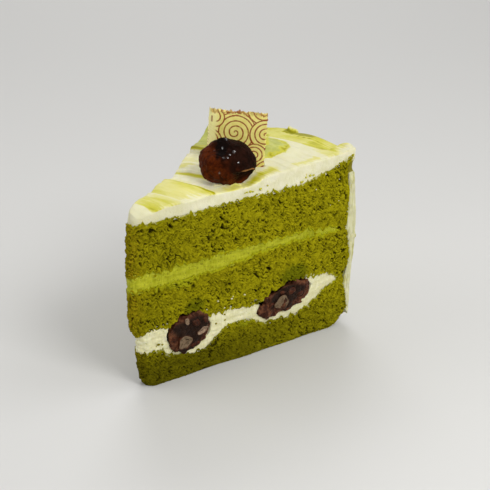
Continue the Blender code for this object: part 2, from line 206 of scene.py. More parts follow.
def merged(node):
    """A bmesh of a solid, with its loose triangles joined."""
    bm = bmesh.new()
    bm.from_mesh(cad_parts[node].data)
    bmesh.ops.remove_doubles(bm, verts=bm.verts, dist=0.01 * MM)
    return bm


def reskinned(piece, cell):
    skin = piece.modifiers.new("skin", "REMESH")
    skin.mode = "VOXEL"
    skin.voxel_size = cell * MM
    return fixed(piece)


def smoothed(piece, turns):
    soften = piece.modifiers.new("soften", "SMOOTH")
    soften.factor = 0.5
    soften.iterations = turns
    return fixed(piece)


def thinned(piece, most):
    """Joins triangles where the surface is flat, until at most this many are left."""
    count = sum(len(face.vertices) - 2 for face in piece.data.polygons)
    if count > most:
        fewer = piece.modifiers.new("fewer", "DECIMATE")
        fewer.ratio = most / count
        fixed(piece)
    return piece


# %% [markdown]
# Every rough surface below is made of smooth noise in a few sizes. Once a piece has its
# shape, the solids it replaces are hidden, it is hung on the body it moves with, and it gets
# what it wears.

# %% Noise, and the last step of a piece
def noise_at(points, size, seed=0.0):
    """Smooth noise from -1 to 1 at every point. Size is the length of a wave, one or three numbers."""
    scaled = points / np.array(size) + np.array((7.1, 3.7, 5.3)) * seed
    return np.array([noise.noise(point) for point in scaled.tolist()])


def serve(piece, nodes, material):
    """The piece hides the solids it replaces, moves with the slice and wears a material."""
    piece.data.materials.clear()
    piece.data.materials.append(material)
    piece.data.shade_smooth()
    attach(piece, "root")
    if nodes:
        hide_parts(*nodes)
    print(piece.name, len(piece.data.polygons), "faces")
    return piece


# %% [markdown]
# A material is a network of nodes, but it reads better as arithmetic. `Value` wraps a
# socket, and its operators add Math nodes, in either order of number and value.

# %% Arithmetic on sockets
class Value:
    def __init__(self, paint, socket):
        self.paint = paint
        self.socket = socket

    def math(self, operation, *others):
        return self.paint.node("ShaderNodeMath", {"operation": operation}, self, *others)

    def __add__(self, other):
        return self.math("ADD", other)

    def __radd__(self, other):
        return self.math("ADD", other)

    def __sub__(self, other):
        return self.math("SUBTRACT", other)

    def __rsub__(self, other):
        return self.paint.node("ShaderNodeMath", {"operation": "SUBTRACT"}, other, self)

    def __mul__(self, other):
        return self.math("MULTIPLY", other)

    def __rmul__(self, other):
        return self.math("MULTIPLY", other)

    def __truediv__(self, other):
        return self.math("DIVIDE", other)

    def ramp(self, low, high, out_low=0.0, out_high=1.0):
        """Smoothly from out_low to out_high as the value goes from low to high."""
        return self.paint.node("ShaderNodeMapRange", {"interpolation_type": "SMOOTHSTEP"},
                               self, low, high, out_low, out_high)


# %% [markdown]
# `Paint` owns one material. Numbers that are the same all over go straight on the shader's
# sockets, and `node` adds any node and fills its sockets in order.

# %% A material that is built by name
class Paint:
    def __init__(self, name, roughness=0.5, **constants):
        self.material = bpy.data.materials.new(name)
        self.material.use_nodes = True
        self.tree = self.material.node_tree
        self.shader = self.tree.nodes["Principled BSDF"]
        self.set("Roughness", roughness)
        for socket, value in constants.items():
            self.set(socket.replace("_", " "), value)

    def set(self, socket, value):
        self.fill(self.shader.inputs[socket], value)

    def fill(self, socket, value):
        if isinstance(value, Value):
            self.tree.links.new(value.socket, socket)
        elif value is not None:
            socket.default_value = value

    def node(self, kind, settings, *values, output=0):
        """Adds a node, sets it up, and fills its sockets in order; None leaves one as it is."""
        made = self.tree.nodes.new(kind)
        for key, setting in settings.items():
            setattr(made, key, setting)
        for socket, value in zip(made.inputs, values):
            self.fill(socket, value)
        return Value(self, made.outputs[output])

    def attribute(self, name):
        return self.node("ShaderNodeAttribute", {"attribute_name": name}, output=2)

    def place(self, stretch=(1, 1, 1), turn=0.0):
        """Place on the object in millimetres; a stretch of 3 makes a pattern 3 times as long that way."""
        here = self.node("ShaderNodeTexCoord", {}, output=3)
        scale = tuple(1 / (MM * amount) for amount in stretch)
        return self.node("ShaderNodeMapping", {}, here, None, (0, 0, turn), scale)

    def vector(self, *parts):
        return self.node("ShaderNodeCombineXYZ", {}, *parts)

    def noise(self, size, where=None, detail=3.0, roughness=0.5):
        """Noise of about 0 to 1, with waves of this many millimetres."""
        return self.node("ShaderNodeTexNoise", {"noise_dimensions": "3D"}, where or self.place(), None,
                         1 / size, detail, roughness)

    def mix(self, mask, first, second):
        """Colour that goes from first to second as the mask goes from 0 to 1."""
        return self.node("ShaderNodeMix", {"data_type": "RGBA"}, mask, None, None, None, None, None,
                         first, second, output=2)

    def bump(self, height, depth, strength=1.0):
        """Roughens the surface: depth is in millimetres for a height of 1."""
        self.set("Normal", self.node("ShaderNodeBump", {}, strength, depth * MM, None, height))


def colour(red, green, blue):
    """Linear colour of one measured from 0 to 255 on a screen."""
    parts = (c / 255 for c in (red, green, blue))
    return tuple(c / 12.92 if c < 0.04 else ((c + 0.055) / 1.055) ** 2.4 for c in parts) + (1.0,)


# %% [markdown]
# The crumb is the largest surface here, and the eye knows it well: small torn cells, wider
# than they are high, in rows that sag a little, with a few large dark pores. Paint alone
# would look printed, so the crumb is real relief. The low parts of a bent noise give the
# dense small cells. Voronoi noise gives the large pores, because each of its cells has a
# middle to sink a pit at.

# %% Crumb relief
CRUMB_CELL = 0.21                          # size of the faces that carry the crumb
CRUMB_WIDER = 1.75                         # cells are this much wider than high
CRUMB_TILT = 0.13                          # the rows of cells fall by this towards the rim
PORE_KINDS = ((4.2, 0.32, 0.52, 1.6),      # spacing, widest radius in spacings, share, depth
              (2.1, 0.42, 0.60, 1.1))
MOST_TRIANGLES = 190000


def exposed(place, normals, back_below=0.0):
    """1 where a surface shows: on the cut faces and the tip, and on the back below a height."""
    upright = 1 - smooth(0.55, 0.85, np.abs(normals[:, 2]))
    on_back = smooth(0.6, 0.8, (normals * place.radial).sum(1)) * (place.s > 100)
    hidden_back = on_back * smooth(back_below - 1, back_below + 1, place.z)
    return upright * (1 - hidden_back)


def grain(place):
    """Places in the crumb's own measure, in which a cell is as wide as it is high."""
    return np.stack([place.s / CRUMB_WIDER, place.s * place.turn, place.z + CRUMB_TILT * place.s], 1)


def pores(points, spacing, radius, share, seed):
    """Depth of the pore at each point, from 0 to 1."""
    depths = []
    for point in (points / spacing + seed).tolist():
        distances, middles = noise.voronoi(point)
        luck = noise.noise(middles[0] * 2.3) * 0.5 + 0.5
        reach = radius * min(1.0, max(0.0, (luck - 1 + share) * 3))
        depths.append(max(0.0, 1 - distances[0] / reach) if reach > 0.05 else 0.0)
    return np.minimum(1.0, np.array(depths) * 1.8)


def torn(place, seed):
    """Relief of torn crumb in millimetres, how hollow each point is, and its row's height."""
    cells = grain(place)
    bend = np.stack([noise_at(cells, 1.5, seed + part) for part in (31, 32, 33)], 1)
    bent = cells + 0.45 * bend
    rows = 0.7 * noise_at(bent, (1.4, 1.4, 0.65), seed + 7)
    rows += 0.6 * noise_at(bent, (0.7, 0.7, 0.38), seed + 8)
    walls = 0.55 * noise_at(bent, 0.66, seed) + 0.45 * noise_at(bent, 0.38, seed + 4) - 0.35 * rows
    walls += 0.2 * noise_at(cells, 5.0, seed + 6)
    hollow = 0.8 * smooth(0.08, 0.36, walls)
    lumps = 0.3 + 0.4 * smooth(30, 14, place.s)
    height = lumps * noise_at(cells, 3.0, seed + 9) + 0.42 * rows + 0.16 * noise_at(cells, 0.4, seed + 5)
    height -= 0.7 * hollow
    for spacing, radius, share, depth in PORE_KINDS:
        pore = pores(cells + 1.1 * bend, spacing, radius, share, seed)
        height -= depth * pore
        hollow = np.maximum(hollow, pore)
    return height, hollow, rows


def ragged(points):
    """Small rises and falls of a crumb layer's edge, where it meets smooth cream."""
    waves = 1.1 * noise_at(points, (3.2, 3.2, 9.0), 1) + 1.5 * noise_at(points, (1.6, 1.6, 5.0), 2)
    waves += 0.8 * noise_at(points, (0.8, 0.8, 2.5), 3)
    return np.stack([0 * waves, 0 * waves, waves], 1)


# %% [markdown]
# Where cream or bean juice touches the crumb, it soaks in and fills pores. How near each
# point lies to another layer is measured with a BVH tree, which finds the closest spot on
# a mesh quickly. The results are stored on the points, for the material to read.

# %% Closeness to another layer
def distance_to(points, node, reach):
    bm = merged(node)
    tree = BVHTree.FromBMesh(bm)
    bm.free()
    found = (tree.find_nearest(Vector(point) * MM, reach * MM)[3] for point in points.tolist())
    return np.array([reach if gap is None else gap / MM for gap in found])


# %% [markdown]
# A few marks of this one slice are given one by one, each by its place on the cut face:
# how far along it, and how high. They are soft spots of wetness, the largest pores, and one
# hollow beside the outer roll of beans.

# %% Marks on the near cut face
def spots(place, places):
    """Soft round spots on the near cut face: along, height, half width, half height, strength."""
    total = 0 * place.z
    for along, height, wide, high, strength in places:
        total += strength * np.exp(-((place.along - along) / wide) ** 2 - ((place.z - height) / high) ** 2)
    return total * smooth(8, 3, place.deep)


HOLE = (70.7, 25.2, 3.0, 1.4)              # the hollow: along, height, half width, half height
HOLE_DEPTH = 3.0


def hole_at(place):
    """1 in the hollow beside the outer roll, 0 outside it."""
    along, height, wide, high = HOLE
    beside = (place.along - along) / wide
    above = (place.z - height + 0.4 * (place.along - along)) / high
    return smooth(1.3, 0.5, beside ** 2 + above ** 2) * smooth(5, 3, place.deep)


# along, height, half width, half height
LARGE_PORES = ((11, 74.5, 1.6, 0.8), (17, 74, 2.2, 0.7), (25.5, 73.5, 1.2, 0.8), (28, 75.5, 1.2, 0.9),
               (31.5, 75.5, 0.9, 0.6), (51, 70.5, 1.2, 0.7), (51.5, 66.5, 0.9, 0.8), (49.5, 62.5, 3.0, 0.6),
               (46.5, 57, 1.0, 1.0), (50.5, 56, 1.9, 0.6), (58, 59, 0.9, 0.8), (56, 47.5, 1.3, 0.8),
               (66, 48, 1.7, 0.8), (27.5, 46, 1.9, 0.7), (53.5, 40.5, 1.7, 0.6), (77, 73, 1.0, 0.7),
               (115, 75, 1.2, 1.5), (116, 69, 1.1, 0.9), (112, 57.5, 1.3, 1.0), (90.5, 60, 0.9, 0.7))


def large_pores(place, seed):
    """1 in the largest pores, 0 outside them, with ragged edges."""
    ragged_edge = 0.5 * noise_at(place.points, 1.1, seed)
    total = 0 * place.z
    for along, height, wide, high in LARGE_PORES:
        gap = np.hypot((place.along - along) / wide, (place.z - height) / high) + ragged_edge
        total = np.maximum(total, smooth(1.2, 0.6, gap))
    return total * smooth(5, 3, place.deep)


# %% [markdown]
# A sponge layer is reskinned finely, and only the points that show are worked on, which
# saves most of the time. Near cream the crumb is calmer, since the cream filled it.

# %% Sponge layers
# along, height, half width, half height, strength
WET_CRUMB = ((36.5, 33.5, 7.5, 4.5, 0.8), (89.5, 34.5, 9.0, 5.5, 1.0), (104.0, 56.5, 5.0, 4.0, 0.4),
             (71.0, 56.5, 6.0, 3.0, 0.5))
GREENER_CRUMB = ((29.0, 46.5, 10.0, 3.0, 1.0), (62.5, 17.5, 5.0, 2.0, 0.9))


def make_sponge(name, node, seed, creams, back_below):
    """Creams gives each layer that soaks in, the attribute for it, and how far it reaches."""
    piece = reskinned(new_piece(name, merged(node)), CRUMB_CELL)
    mesh = piece.data
    points, normals = settled(points_of(mesh)), normals_of(mesh)
    place = Place(points)
    shown = exposed(place, normals, back_below)
    at_edge = smooth(3.2, 1.6, np.minimum(place.deep, place.far_deep))
    here = np.nonzero((shown > 0.01) | (at_edge > 0.01))[0]
    place = Place(points[here])
    height, hollow, rows = torn(place, 10 * seed)
    nearness = {}
    for cream, label, reach in creams:
        nearness[label] = 1 - distance_to(points[here], cream, reach) / reach
    nearest = np.max(list(nearness.values()), 0)
    calm = 1 - 0.65 * smooth(0.35, 0.9, nearest) - 0.25 * smooth(0.45, 0.8, nearest)
    height, hollow = height * calm + 0.3 * (1 - calm), hollow * calm
    hole = np.maximum(hole_at(place), 0.7 * large_pores(place, seed))
    moved = points.copy()
    moved[here] += normals[here] * (shown[here] * (height - HOLE_DEPTH * hole))[:, None]
    moved[here] += ragged(points[here]) * (at_edge[here] * smooth(1.0, 4.0, place.z))[:, None]
    marks = {"pit": np.maximum(hollow, hole), "row": rows, **nearness,
             "wet": spots(place, WET_CRUMB), "soaked": spots(place, GREENER_CRUMB)}
    for label, values in marks.items():
        store(mesh, label, scattered(len(points), here, values))
    move_points(mesh, moved)
    return thinned(piece, MOST_TRIANGLES)


# %% [markdown]
# Matcha crumb isn't one green: its raised rows are painted lighter and its pits and pores
# nearly black, as painted light and shade; it darkens to a wetter green above the bean paste,
# painted shade darkens it low down and towards the tip, and the tip's edge has dried to a tan.
# The material reads places in millimetres, and a ramp can run along any of them.

# %% Sponge material
# Crumb colours; their light and dark ends also carry painted light and shade on the rows.
CRUMB_LIGHT = colour(172, 164, 16)
CRUMB_DARK = colour(108, 101, 2)
# Painted shade for pits, pores and the hollow beside the outer roll.
CRUMB_PORE_SHADE = colour(30, 26, 0)
CRUMB_WET = colour(84, 92, 4)
CRUMB_SOAKED = colour(170, 172, 26)
CRUMB_BY_CREAM = colour(166, 170, 20)
# Painted shade: the next two colours darken the crumb low in the slice and towards the tip.
CRUMB_LOW_SHADE = colour(44, 40, 0)             # towards the base and the tip, away from the light
CRUMB_TIP_SHADE = colour(60, 52, 0)
CRUMB_DRY = colour(150, 112, 16)
CREAM_SMEAR = colour(206, 202, 150)


def paint_crumb():
    paint = Paint("matcha crumb", roughness=0.95, Specular_IOR_Level=0.05)
    fine = paint.noise(0.7, paint.place((1.5, 1.5, 1)), detail=4.0, roughness=0.65)
    patch = paint.noise(9.0, detail=2.0)
    # Painted light and shade: raised rows of crumb are painted lighter and low ones darker, mixed with the
    # crumb's own uneven tone.
    tone_and_highlight = paint.attribute("row").ramp(-0.4, 0.45) * 0.45 + fine.ramp(0.35, 0.65) * 0.4
    tone_and_highlight = tone_and_highlight + patch.ramp(0.3, 0.7) * 0.15
    base = paint.mix(tone_and_highlight, CRUMB_DARK, CRUMB_LIGHT)
    soaked = (paint.attribute("soaked") + fine * 0.6).ramp(0.6, 1.1)
    base = paint.mix(soaked * 0.7, base, CRUMB_SOAKED)
    wet = (paint.attribute("wet") * (fine * 0.8 + 0.6)).ramp(0.25, 0.8)
    base = paint.mix(wet * 0.7, base, CRUMB_WET)
    by_cream = paint.attribute("cream").ramp(0.5, 0.9)
    # Painted shade: pits, pores and the hollow are painted nearly black, less so where cream filled them.
    base = paint.mix(paint.attribute("pit").ramp(0.15, 0.85) * (0.92 - by_cream * 0.3), base, CRUMB_PORE_SHADE)
    base = paint.mix(by_cream * 0.3, base, CRUMB_BY_CREAM)
    fleck = paint.noise(1.5, paint.place((1.6, 1.6, 1)), detail=3.0, roughness=0.6)
    smear = (paint.attribute("cream") * 0.5 + fleck).ramp(0.95, 1.08)
    base = paint.mix(smear * 0.85, base, CREAM_SMEAR)
    matcha = (paint.attribute("matcha") * 0.6 + fleck).ramp(0.85, 1.05)
    base = paint.mix(matcha * 0.8, base, CRUMB_SOAKED)
    height = paint.node("ShaderNodeSeparateXYZ", {}, paint.place(), output=2)
    rimward = paint.node("ShaderNodeSeparateXYZ", {}, paint.place(), output=0)
    # Painted shade, darker low down and towards the tip side.
    base = paint.mix(height.ramp(24, 8) * rimward.ramp(90, -40) * 0.64, base, CRUMB_LOW_SHADE)
    # Painted shade towards the tip.
    base = paint.mix(rimward.ramp(-5, -60) * 0.16, base, CRUMB_TIP_SHADE)
    base = paint.mix(rimward.ramp(-52, -62) * fine.ramp(0.4, 0.6) * 0.5, base, CRUMB_DRY)
    paint.set("Base Color", base)
    paint.bump(paint.noise(0.4, detail=3.0, roughness=0.7), 0.3)
    return paint.material


ICING_FOOT = 6.6                           # the icing on the back ends this high
# seed, creams that soak in, and the height below which the back isn't iced
SPONGES = {"bottom": (1, (("cream_white", "cream", 3.0),), ICING_FOOT),
           "middle": (2, (("cream_white", "cream", 3.0), ("cream_matcha", "matcha", 4.0)), 0.0),
           "top": (3, (("icing", "cream", 3.0), ("cream_matcha", "matcha", 3.0)), 0.0)}
crumb = paint_crumb()
for level, (seed, creams, bare_below) in SPONGES.items():
    node = "sponge_" + level
    serve(make_sponge("crumb_" + level, node, seed, creams, bare_below), [node], crumb)

# %% [markdown]
# Cream between the layers was cut with the same stroke as the crumb, so its cut edge is
# nearly flat and dragged a little. It fills the gap between the layers completely: it is
# thickened until it runs into the crumb above and below, whose torn walls then cut its edge.

# %% Layers of cream
CREAM_CELL = 0.42
CREAM_GROWTH = 1.9                         # how far it runs into the crumb
CREAM_SUNK = 0.1                           # the crumb beside it stands this much proud
CREAM_DIP = 0.7                            # cream behind the crumb lies this much deeper


def make_cream(name, node, seed):
    bm = merged(node)
    bm.normal_update()
    for vert in bm.verts:
        vert.co.z += CREAM_GROWTH * MM * np.clip(vert.normal.z * 2, -1, 1)
    piece = smoothed(reskinned(new_piece(name, bm), CREAM_CELL), 3)
    mesh = piece.data
    points, normals = settled(points_of(mesh)), normals_of(mesh)
    place = Place(points)
    shown = exposed(place, normals)
    drag = 0.25 * noise_at(points, (8.0, 8.0, 1.7), seed)
    drag += 0.13 * noise_at(points, (2.2, 2.2, 0.8), seed + 1)
    drag += smooth(30, 16, place.s) * 0.5 * noise_at(points, (1.8, 1.8, 1.2), seed + 2)
    drag -= CREAM_SUNK + CREAM_DIP * smooth(0.3, 1.6, distance_to(points_of(mesh), node, 1.6))
    hole = hole_at(place)
    drag -= HOLE_DEPTH * hole
    store(mesh, "hole", hole)
    move_points(mesh, points + normals * (drag * shown)[:, None])
    return piece


# %% [markdown]
# Cream lets light in a little way, which softens its shadows. Its colour wavers along the
# drag of the knife and the spatula, and specks of crumb cling to it.

# %% Cream materials
# Painted shade inside the hollow beside the outer roll.
HOLLOW = colour(24, 20, 3)


def paint_cream(name, light, dark, crumbs, amount):
    paint = Paint(name, roughness=0.55, Specular_IOR_Level=0.2, Subsurface_Weight=0.3,
                  Subsurface_Scale=1.5 * MM, Subsurface_Radius=(1.0, 0.85, 0.4))
    drag = paint.noise(1.6, paint.place((4, 4, 1)), detail=4.0, roughness=0.6)
    strokes = paint.noise(0.9, paint.place((1, 1, 4)), detail=3.0, roughness=0.6)
    base = paint.mix((drag * 0.5 + strokes * 0.5).ramp(0.36, 0.64), dark, light)
    speck = paint.noise(1.1, detail=2.0, roughness=0.6)
    base = paint.mix(speck.ramp(0.7 - 0.1 * amount, 0.76 - 0.1 * amount) * 0.75, base, crumbs)
    # Painted shade in the hollow.
    base = paint.mix(paint.attribute("hole").ramp(0.2, 0.8), base, HOLLOW)
    paint.set("Base Color", base)
    paint.bump(paint.noise(1.1, paint.place((3, 3, 1)), detail=4.0, roughness=0.6), 0.25)
    return paint.material


white = paint_cream("white cream", colour(232, 228, 190), colour(214, 209, 160), colour(160, 155, 50), 0.3)
green = paint_cream("matcha cream", colour(182, 182, 36), colour(152, 154, 6), colour(118, 118, 4), 1.0)
serve(make_cream("white_cream_layer", "cream_white", 5), ["cream_white"], white)
serve(make_cream("matcha_cream_layer", "cream_matcha", 7), ["cream_matcha"], green)

# %% [markdown]
# The bean paste is coarse: beans in a mash of skins. The knife went through some beans and
# left a pale inside with a dark rim of skin. Each bean is a small ball, pressed into the
# roll's end; the part that the knife took off is flattened to the level of the cut.

# %% Beans
# along, height, half sizes, tilt, how pale its inside is; 0 for a bean the knife left whole
NEAR_BEANS = ((30.6, 17.8, 3.6, 3.5, 20, 0.3), (40.0, 20.8, 3.2, 1.7, 30, 1.0),
              (31.8, 27.6, 1.2, 2.2, 25, 0.6), (36.6, 25.6, 3.0, 2.2, -30, 0),
              (25.4, 20.6, 1.9, 2.8, 15, 0), (36.3, 15.0, 3.2, 1.9, 10, 0),
              (41.6, 25.6, 2.0, 2.5, 5, 0), (82.2, 22.0, 4.3, 3.1, 14, 0.2),
              (88.6, 26.4, 3.4, 2.2, 14, 0), (76.6, 22.6, 2.6, 1.9, 40, 0),
              (92.8, 24.0, 2.6, 1.9, 10, 0), (83.4, 27.0, 2.4, 1.5, 18, 0))
FAR_BEANS = ((28.8, 23.5, 3.2, 2.4, 40, 0.4), (35.8, 19.2, 3.3, 2.6, -10, 0.9),
             (34.0, 26.8, 2.6, 1.9, 10, 0), (40.2, 24.0, 2.0, 2.7, 0, 0),
             (79.5, 22.2, 3.3, 2.2, 20, 0.3), (87.6, 25.0, 3.6, 2.4, 15, 0),
             (92.8, 24.8, 2.6, 1.8, -10, 0.9), (83.6, 20.6, 2.6, 1.5, 10, 0))
BEAN_DEPTH = 2.8                           # half thickness of a bean, into the paste
WHOLE_BEAN_SUNK = 2.0                      # how deep the middle of a whole bean lies
CUT_BEAN_SUNK = 0.7
CUT_LEVEL = 0.3                            # how far a cut bean stands out of the paste


def add_bean(bm, tree, bean, way, inside, layers, number):
    """A bean at a cut face: way runs along the face, and inside is the way into the cake."""
    along, height, wide, high, tilt, paleness = bean
    was_cut = paleness > 0
    sunk = CUT_BEAN_SUNK if was_cut else WHOLE_BEAN_SUNK
    flesh, skin, pale = layers
    start = MIDDLE + way * along + UP * height
    hit = tree.ray_cast((start - inside * 10) * MM, inside)[0]
    surface = start if hit is None else hit / MM
    ball = bmesh.ops.create_icosphere(bm, subdivisions=4, radius=1.0)["verts"]
    spin = Matrix.Rotation(math.radians(tilt), 2)
    for vert in ball:
        bump = 1 + 0.36 * noise.noise(vert.co * 1.1 + Vector((number, 0, 0)))
        across, over = spin @ Vector((vert.co.x * wide * bump, vert.co.y * high * bump))
        out = vert.co.z * BEAN_DEPTH - sunk
        opened = 0.0
        if was_cut:
            opened = float(smooth(CUT_LEVEL, CUT_LEVEL + 0.35, out + 0.45 * vert.co.y - 0.15))
        vert[pale] = paleness
        vert[flesh] = opened
        vert[skin] = 1 - opened
        if was_cut:
            out = min(out, CUT_LEVEL + 0.25 * noise.noise(vert.co * 3 + Vector((0, number, 0))))
        vert.co = (surface + way * across + UP * over - inside * out) * MM


# %% [markdown]
# The rolls were piped in rings, so each runs through the slice on an arc. Slow noise bends
# its outline off the plain oval, and quick noise gives the mash its lumps. Only then are
# the beans set into both of its ends, where a ray finds the surface.

# %% Rolls of bean paste
ROLL_CELL = 0.28
INNER_MIDDLE = 33.4                        # distance of the inner roll from the cake's middle
ROLL_TILT = 0.22                           # its rise towards the rim
ROLL_HOLLOW = 2.5                          # the hollow beside the outer roll cuts this far in
# along, height, half width, half height, strength
DARK_PASTE = ((33.5, 20.5, 9.0, 8.0, 0.45), (32.1, 23.6, 4.6, 3.0, 1.2), (37.5, 24.6, 5.0, 3.0, 1.4),
              (36.0, 20.0, 3.2, 4.0, 1.2), (27.5, 25.3, 2.4, 1.4, 0.9), (31.0, 13.6, 4.0, 1.0, 0.9),
              (78.6, 24.8, 2.8, 2.0, 1.1), (85.0, 26.8, 5.0, 2.6, 1.3), (91.5, 26.4, 4.4, 2.2, 1.1),
              (88.0, 23.4, 3.0, 2.2, 1.1), (85.8, 19.6, 3.0, 1.2, 0.9), (77.0, 21.0, 2.6, 1.6, 0.6))


def make_roll(name, node, seed, span):
    """Span gives the least and most along of the beans that belong to this roll."""
    piece = smoothed(reskinned(new_piece(name, merged(node)), ROLL_CELL), 2)
    mesh = piece.data
    points, normals = points_of(mesh), normals_of(mesh)
    bend = np.stack([noise_at(points, (4.0, 9.0, 4.0), seed + part) for part in (51, 52, 53)], 1)
    points += bend * np.array((2.0, 0.0, 1.8))
    place = Place(points)
    points[:, 2] += ROLL_TILT * (place.s - INNER_MIDDLE) * smooth(55, 50, place.s)
    place = Place(points)
    lumps = 0.1 + 0.45 * noise_at(points, 2.6, seed) + 0.3 * noise_at(points, 1.2, seed + 1)
    lumps += 0.16 * noise_at(points, 0.5, seed + 2)
    hole = hole_at(place)
    move_points(mesh, points + normals * (lumps - ROLL_HOLLOW * hole)[:, None])
    store(mesh, "hole", hole)
    store(mesh, "dark", spots(place, DARK_PASTE))
    bm = bmesh.new()
    bm.from_mesh(mesh)
    layers = [bm.verts.layers.float.new(label) for label in ("flesh", "skin", "pale")]
    tree = BVHTree.FromBMesh(bm)
    for beans, way, inside in ((NEAR_BEANS, NEAR_WAY, NEAR_IN), (FAR_BEANS, FAR_WAY, FAR_IN)):
        for number, bean in enumerate(beans):
            if span[0] < bean[0] < span[1]:
                add_bean(bm, tree, bean, way, inside, layers, number + seed)
    bm.to_mesh(mesh)
    bm.free()
    return piece


# %% [markdown]
# Paste is nearly black between the beans, and red-brown where a skin catches the light. The
# inside of a cut bean is grey and floury. Moist paste is smoother in some spots than others.

# %% Paste material
def paint_paste():
    paint = Paint("adzuki paste", roughness=0.45, Specular_IOR_Level=0.2, Specular_Tint=(1, 0.7, 0.55, 1))
    mash = paint.noise(2.6, detail=5.0, roughness=0.65)
    small = paint.noise(0.8, detail=3.0, roughness=0.6)
    base = paint.mix(mash.ramp(0.4, 0.62), colour(48, 21, 11), colour(108, 66, 42))
    base = paint.mix(small.ramp(0.54, 0.66) * 0.7, base, colour(66, 20, 8))
    skin = paint.mix(small.ramp(0.4, 0.65), colour(24, 7, 4), colour(76, 32, 18))
    base = paint.mix(paint.attribute("skin") * 0.7, base, skin)
    dark = (paint.attribute("dark") + mash * 0.8).ramp(0.6, 1.1)
    base = paint.mix(dark * 0.92, base, colour(15, 6, 3))
    flesh = paint.mix(paint.attribute("pale"), colour(96, 82, 58), colour(166, 140, 116))
    flesh = paint.mix(small.ramp(0.4, 0.6) * 0.5, flesh, colour(112, 90, 68))
    starch = paint.noise(1.7, detail=3.0, roughness=0.6)
    flesh = paint.mix(starch.ramp(0.48, 0.62) * 0.6, flesh, colour(62, 48, 30))
    base = paint.mix(paint.attribute("flesh"), base, flesh)
    # Painted shade inside the hollow beside the outer roll.
    base = paint.mix(paint.attribute("hole").ramp(0.2, 0.8), base, colour(8, 5, 3))
    paint.set("Base Color", base)
    paint.set("Roughness", small.ramp(0.3, 0.7, 0.28, 0.6))
    paint.bump(small, 0.45)
    return paint.material


paste = paint_paste()
serve(make_roll("inner_roll", "adzuki_inner", 11, (0, 60)), ["adzuki_inner"], paste)
serve(make_roll("outer_roll", "adzuki_outer", 13, (60, 120)), ["adzuki_outer"], paste)

# %% [markdown]
# The icing was spread with a long spatula turned about the cake, so its strokes run on
# arcs. Each stroke ends in a thin ridge, and drags matcha powder along with it. Where the
# powder lies is worked out per point, so that colour and ridges keep together. The sweep of
# a point says on which stroke it lies: its distance from the cake's middle, a bit slanted.

# %% Strokes of the spatula
SWEEP_SLANT = 0.1                          # a stroke leaves its arc by this much over its length
# sweep from and to, softness of both edges, depth from and to, strength
STROKES = ((17.5, 30.5, 0.7, 3.0, -0.5, 13.5, 0.55), (17.3, 19.5, 0.5, 1.5, 0.5, 7.0, 0.3),
           (32.4, 47.0, 0.7, 6.0, 3.5, 26.0, 0.35), (43.0, 47.0, 3.0, 0.4, 0.5, 20.0, 0.26),
           (46.3, 47.3, 0.3, 0.3, -1.0, 25.0, 0.55), (32.4, 36.0, 0.6, 3.0, 12.0, 21.0, 0.2),
           (58.2, 60.0, 1.0, 0.5, 14.0, 33.0, 0.6), (50.0, 52.5, 1.2, 0.8, 18.0, 30.0, 0.18),
           (62.5, 65.5, 1.0, 0.8, 28.0, 36.0, 0.3), (66.0, 72.0, 2.0, 3.0, 30.0, 42.0, 0.22),
           (112.8, 140.0, 1.2, 1.0, 4.5, 60.0, 0.46))
# along and depth of both ends, half width, softness, strength
SMEARS = ((57.0, 0.8, 79.5, 4.4, 3.0, 2.6, 0.27), (67.0, 2.2, 79.5, 4.2, 2.0, 2.0, 0.38),
          (112.8, 38.5, 117.4, 26.5, 1.5, 1.2, 1.4), (46.0, 1.0, 60.0, 4.0, 3.0, 6.0, 0.28),
          (91.0, 2.4, 103.0, 3.0, 1.3, 1.5, 0.4), (112.6, 18.0, 111.6, 3.4, 3.5, 1.6, 0.42))
# along and depth of both ends
THIN_LINES = ((61.6, 41.2, 67.6, 37.2), (90.5, 23.5, 103.0, 42.0))


def from_line(place, x0, y0, x1, y1):
    """Distance of each point from a line on the top, given by along and depth of both ends."""
    length = math.hypot(x1 - x0, y1 - y0)
    t = ((place.along - x0) * (x1 - x0) + (place.deep - y0) * (y1 - y0)) / length ** 2
    t = np.clip(t, 0, 1)
    return np.hypot(place.along - x0 - t * (x1 - x0), place.deep - y0 - t * (y1 - y0))


def matcha_on(place, sweep, fray):
    """How much matcha powder was dragged over the icing; 1 is a full streak."""
    total = 0 * sweep
    for low, high, soft_low, soft_high, deep_low, deep_high, strength in STROKES:
        ends = band(place.deep + 4 * fray, deep_low, deep_high, 3, 5)
        total += strength * band(sweep, low, high, soft_low, soft_high) * ends
    for x0, y0, x1, y1, half, soft, strength in SMEARS:
        gap = from_line(place, x0, y0, x1, y1) + 1.5 * fray
        total += strength * smooth(half + soft, half - soft, gap)
    return total


# %% [markdown]
# The icing's solid has room for the plaque and the chestnut in it. Both rooms are filled
# with a block before the reskin melts all of it into one skin. Its underside and inner wall
# grow into the crumb, as the cream between the layers does.

# %% Body of the icing
NUT_FOOT = MIDDLE + Vector((60.2, -8.2, 82.6))          # middle of the spot where the chestnut sits
PLAQUE_FOOT = MIDDLE + Vector((78.7, -13.2, 85.0))      # the plaque's right end, where it enters
# middle of a fill, and its width, thickness and height
FILLS = ((PLAQUE_FOOT - ASIDE * 11 - UP * 1.9, (25, 3.0, 2.6)), (NUT_FOOT - UP * 0.3, (11, 9, 1.8)))


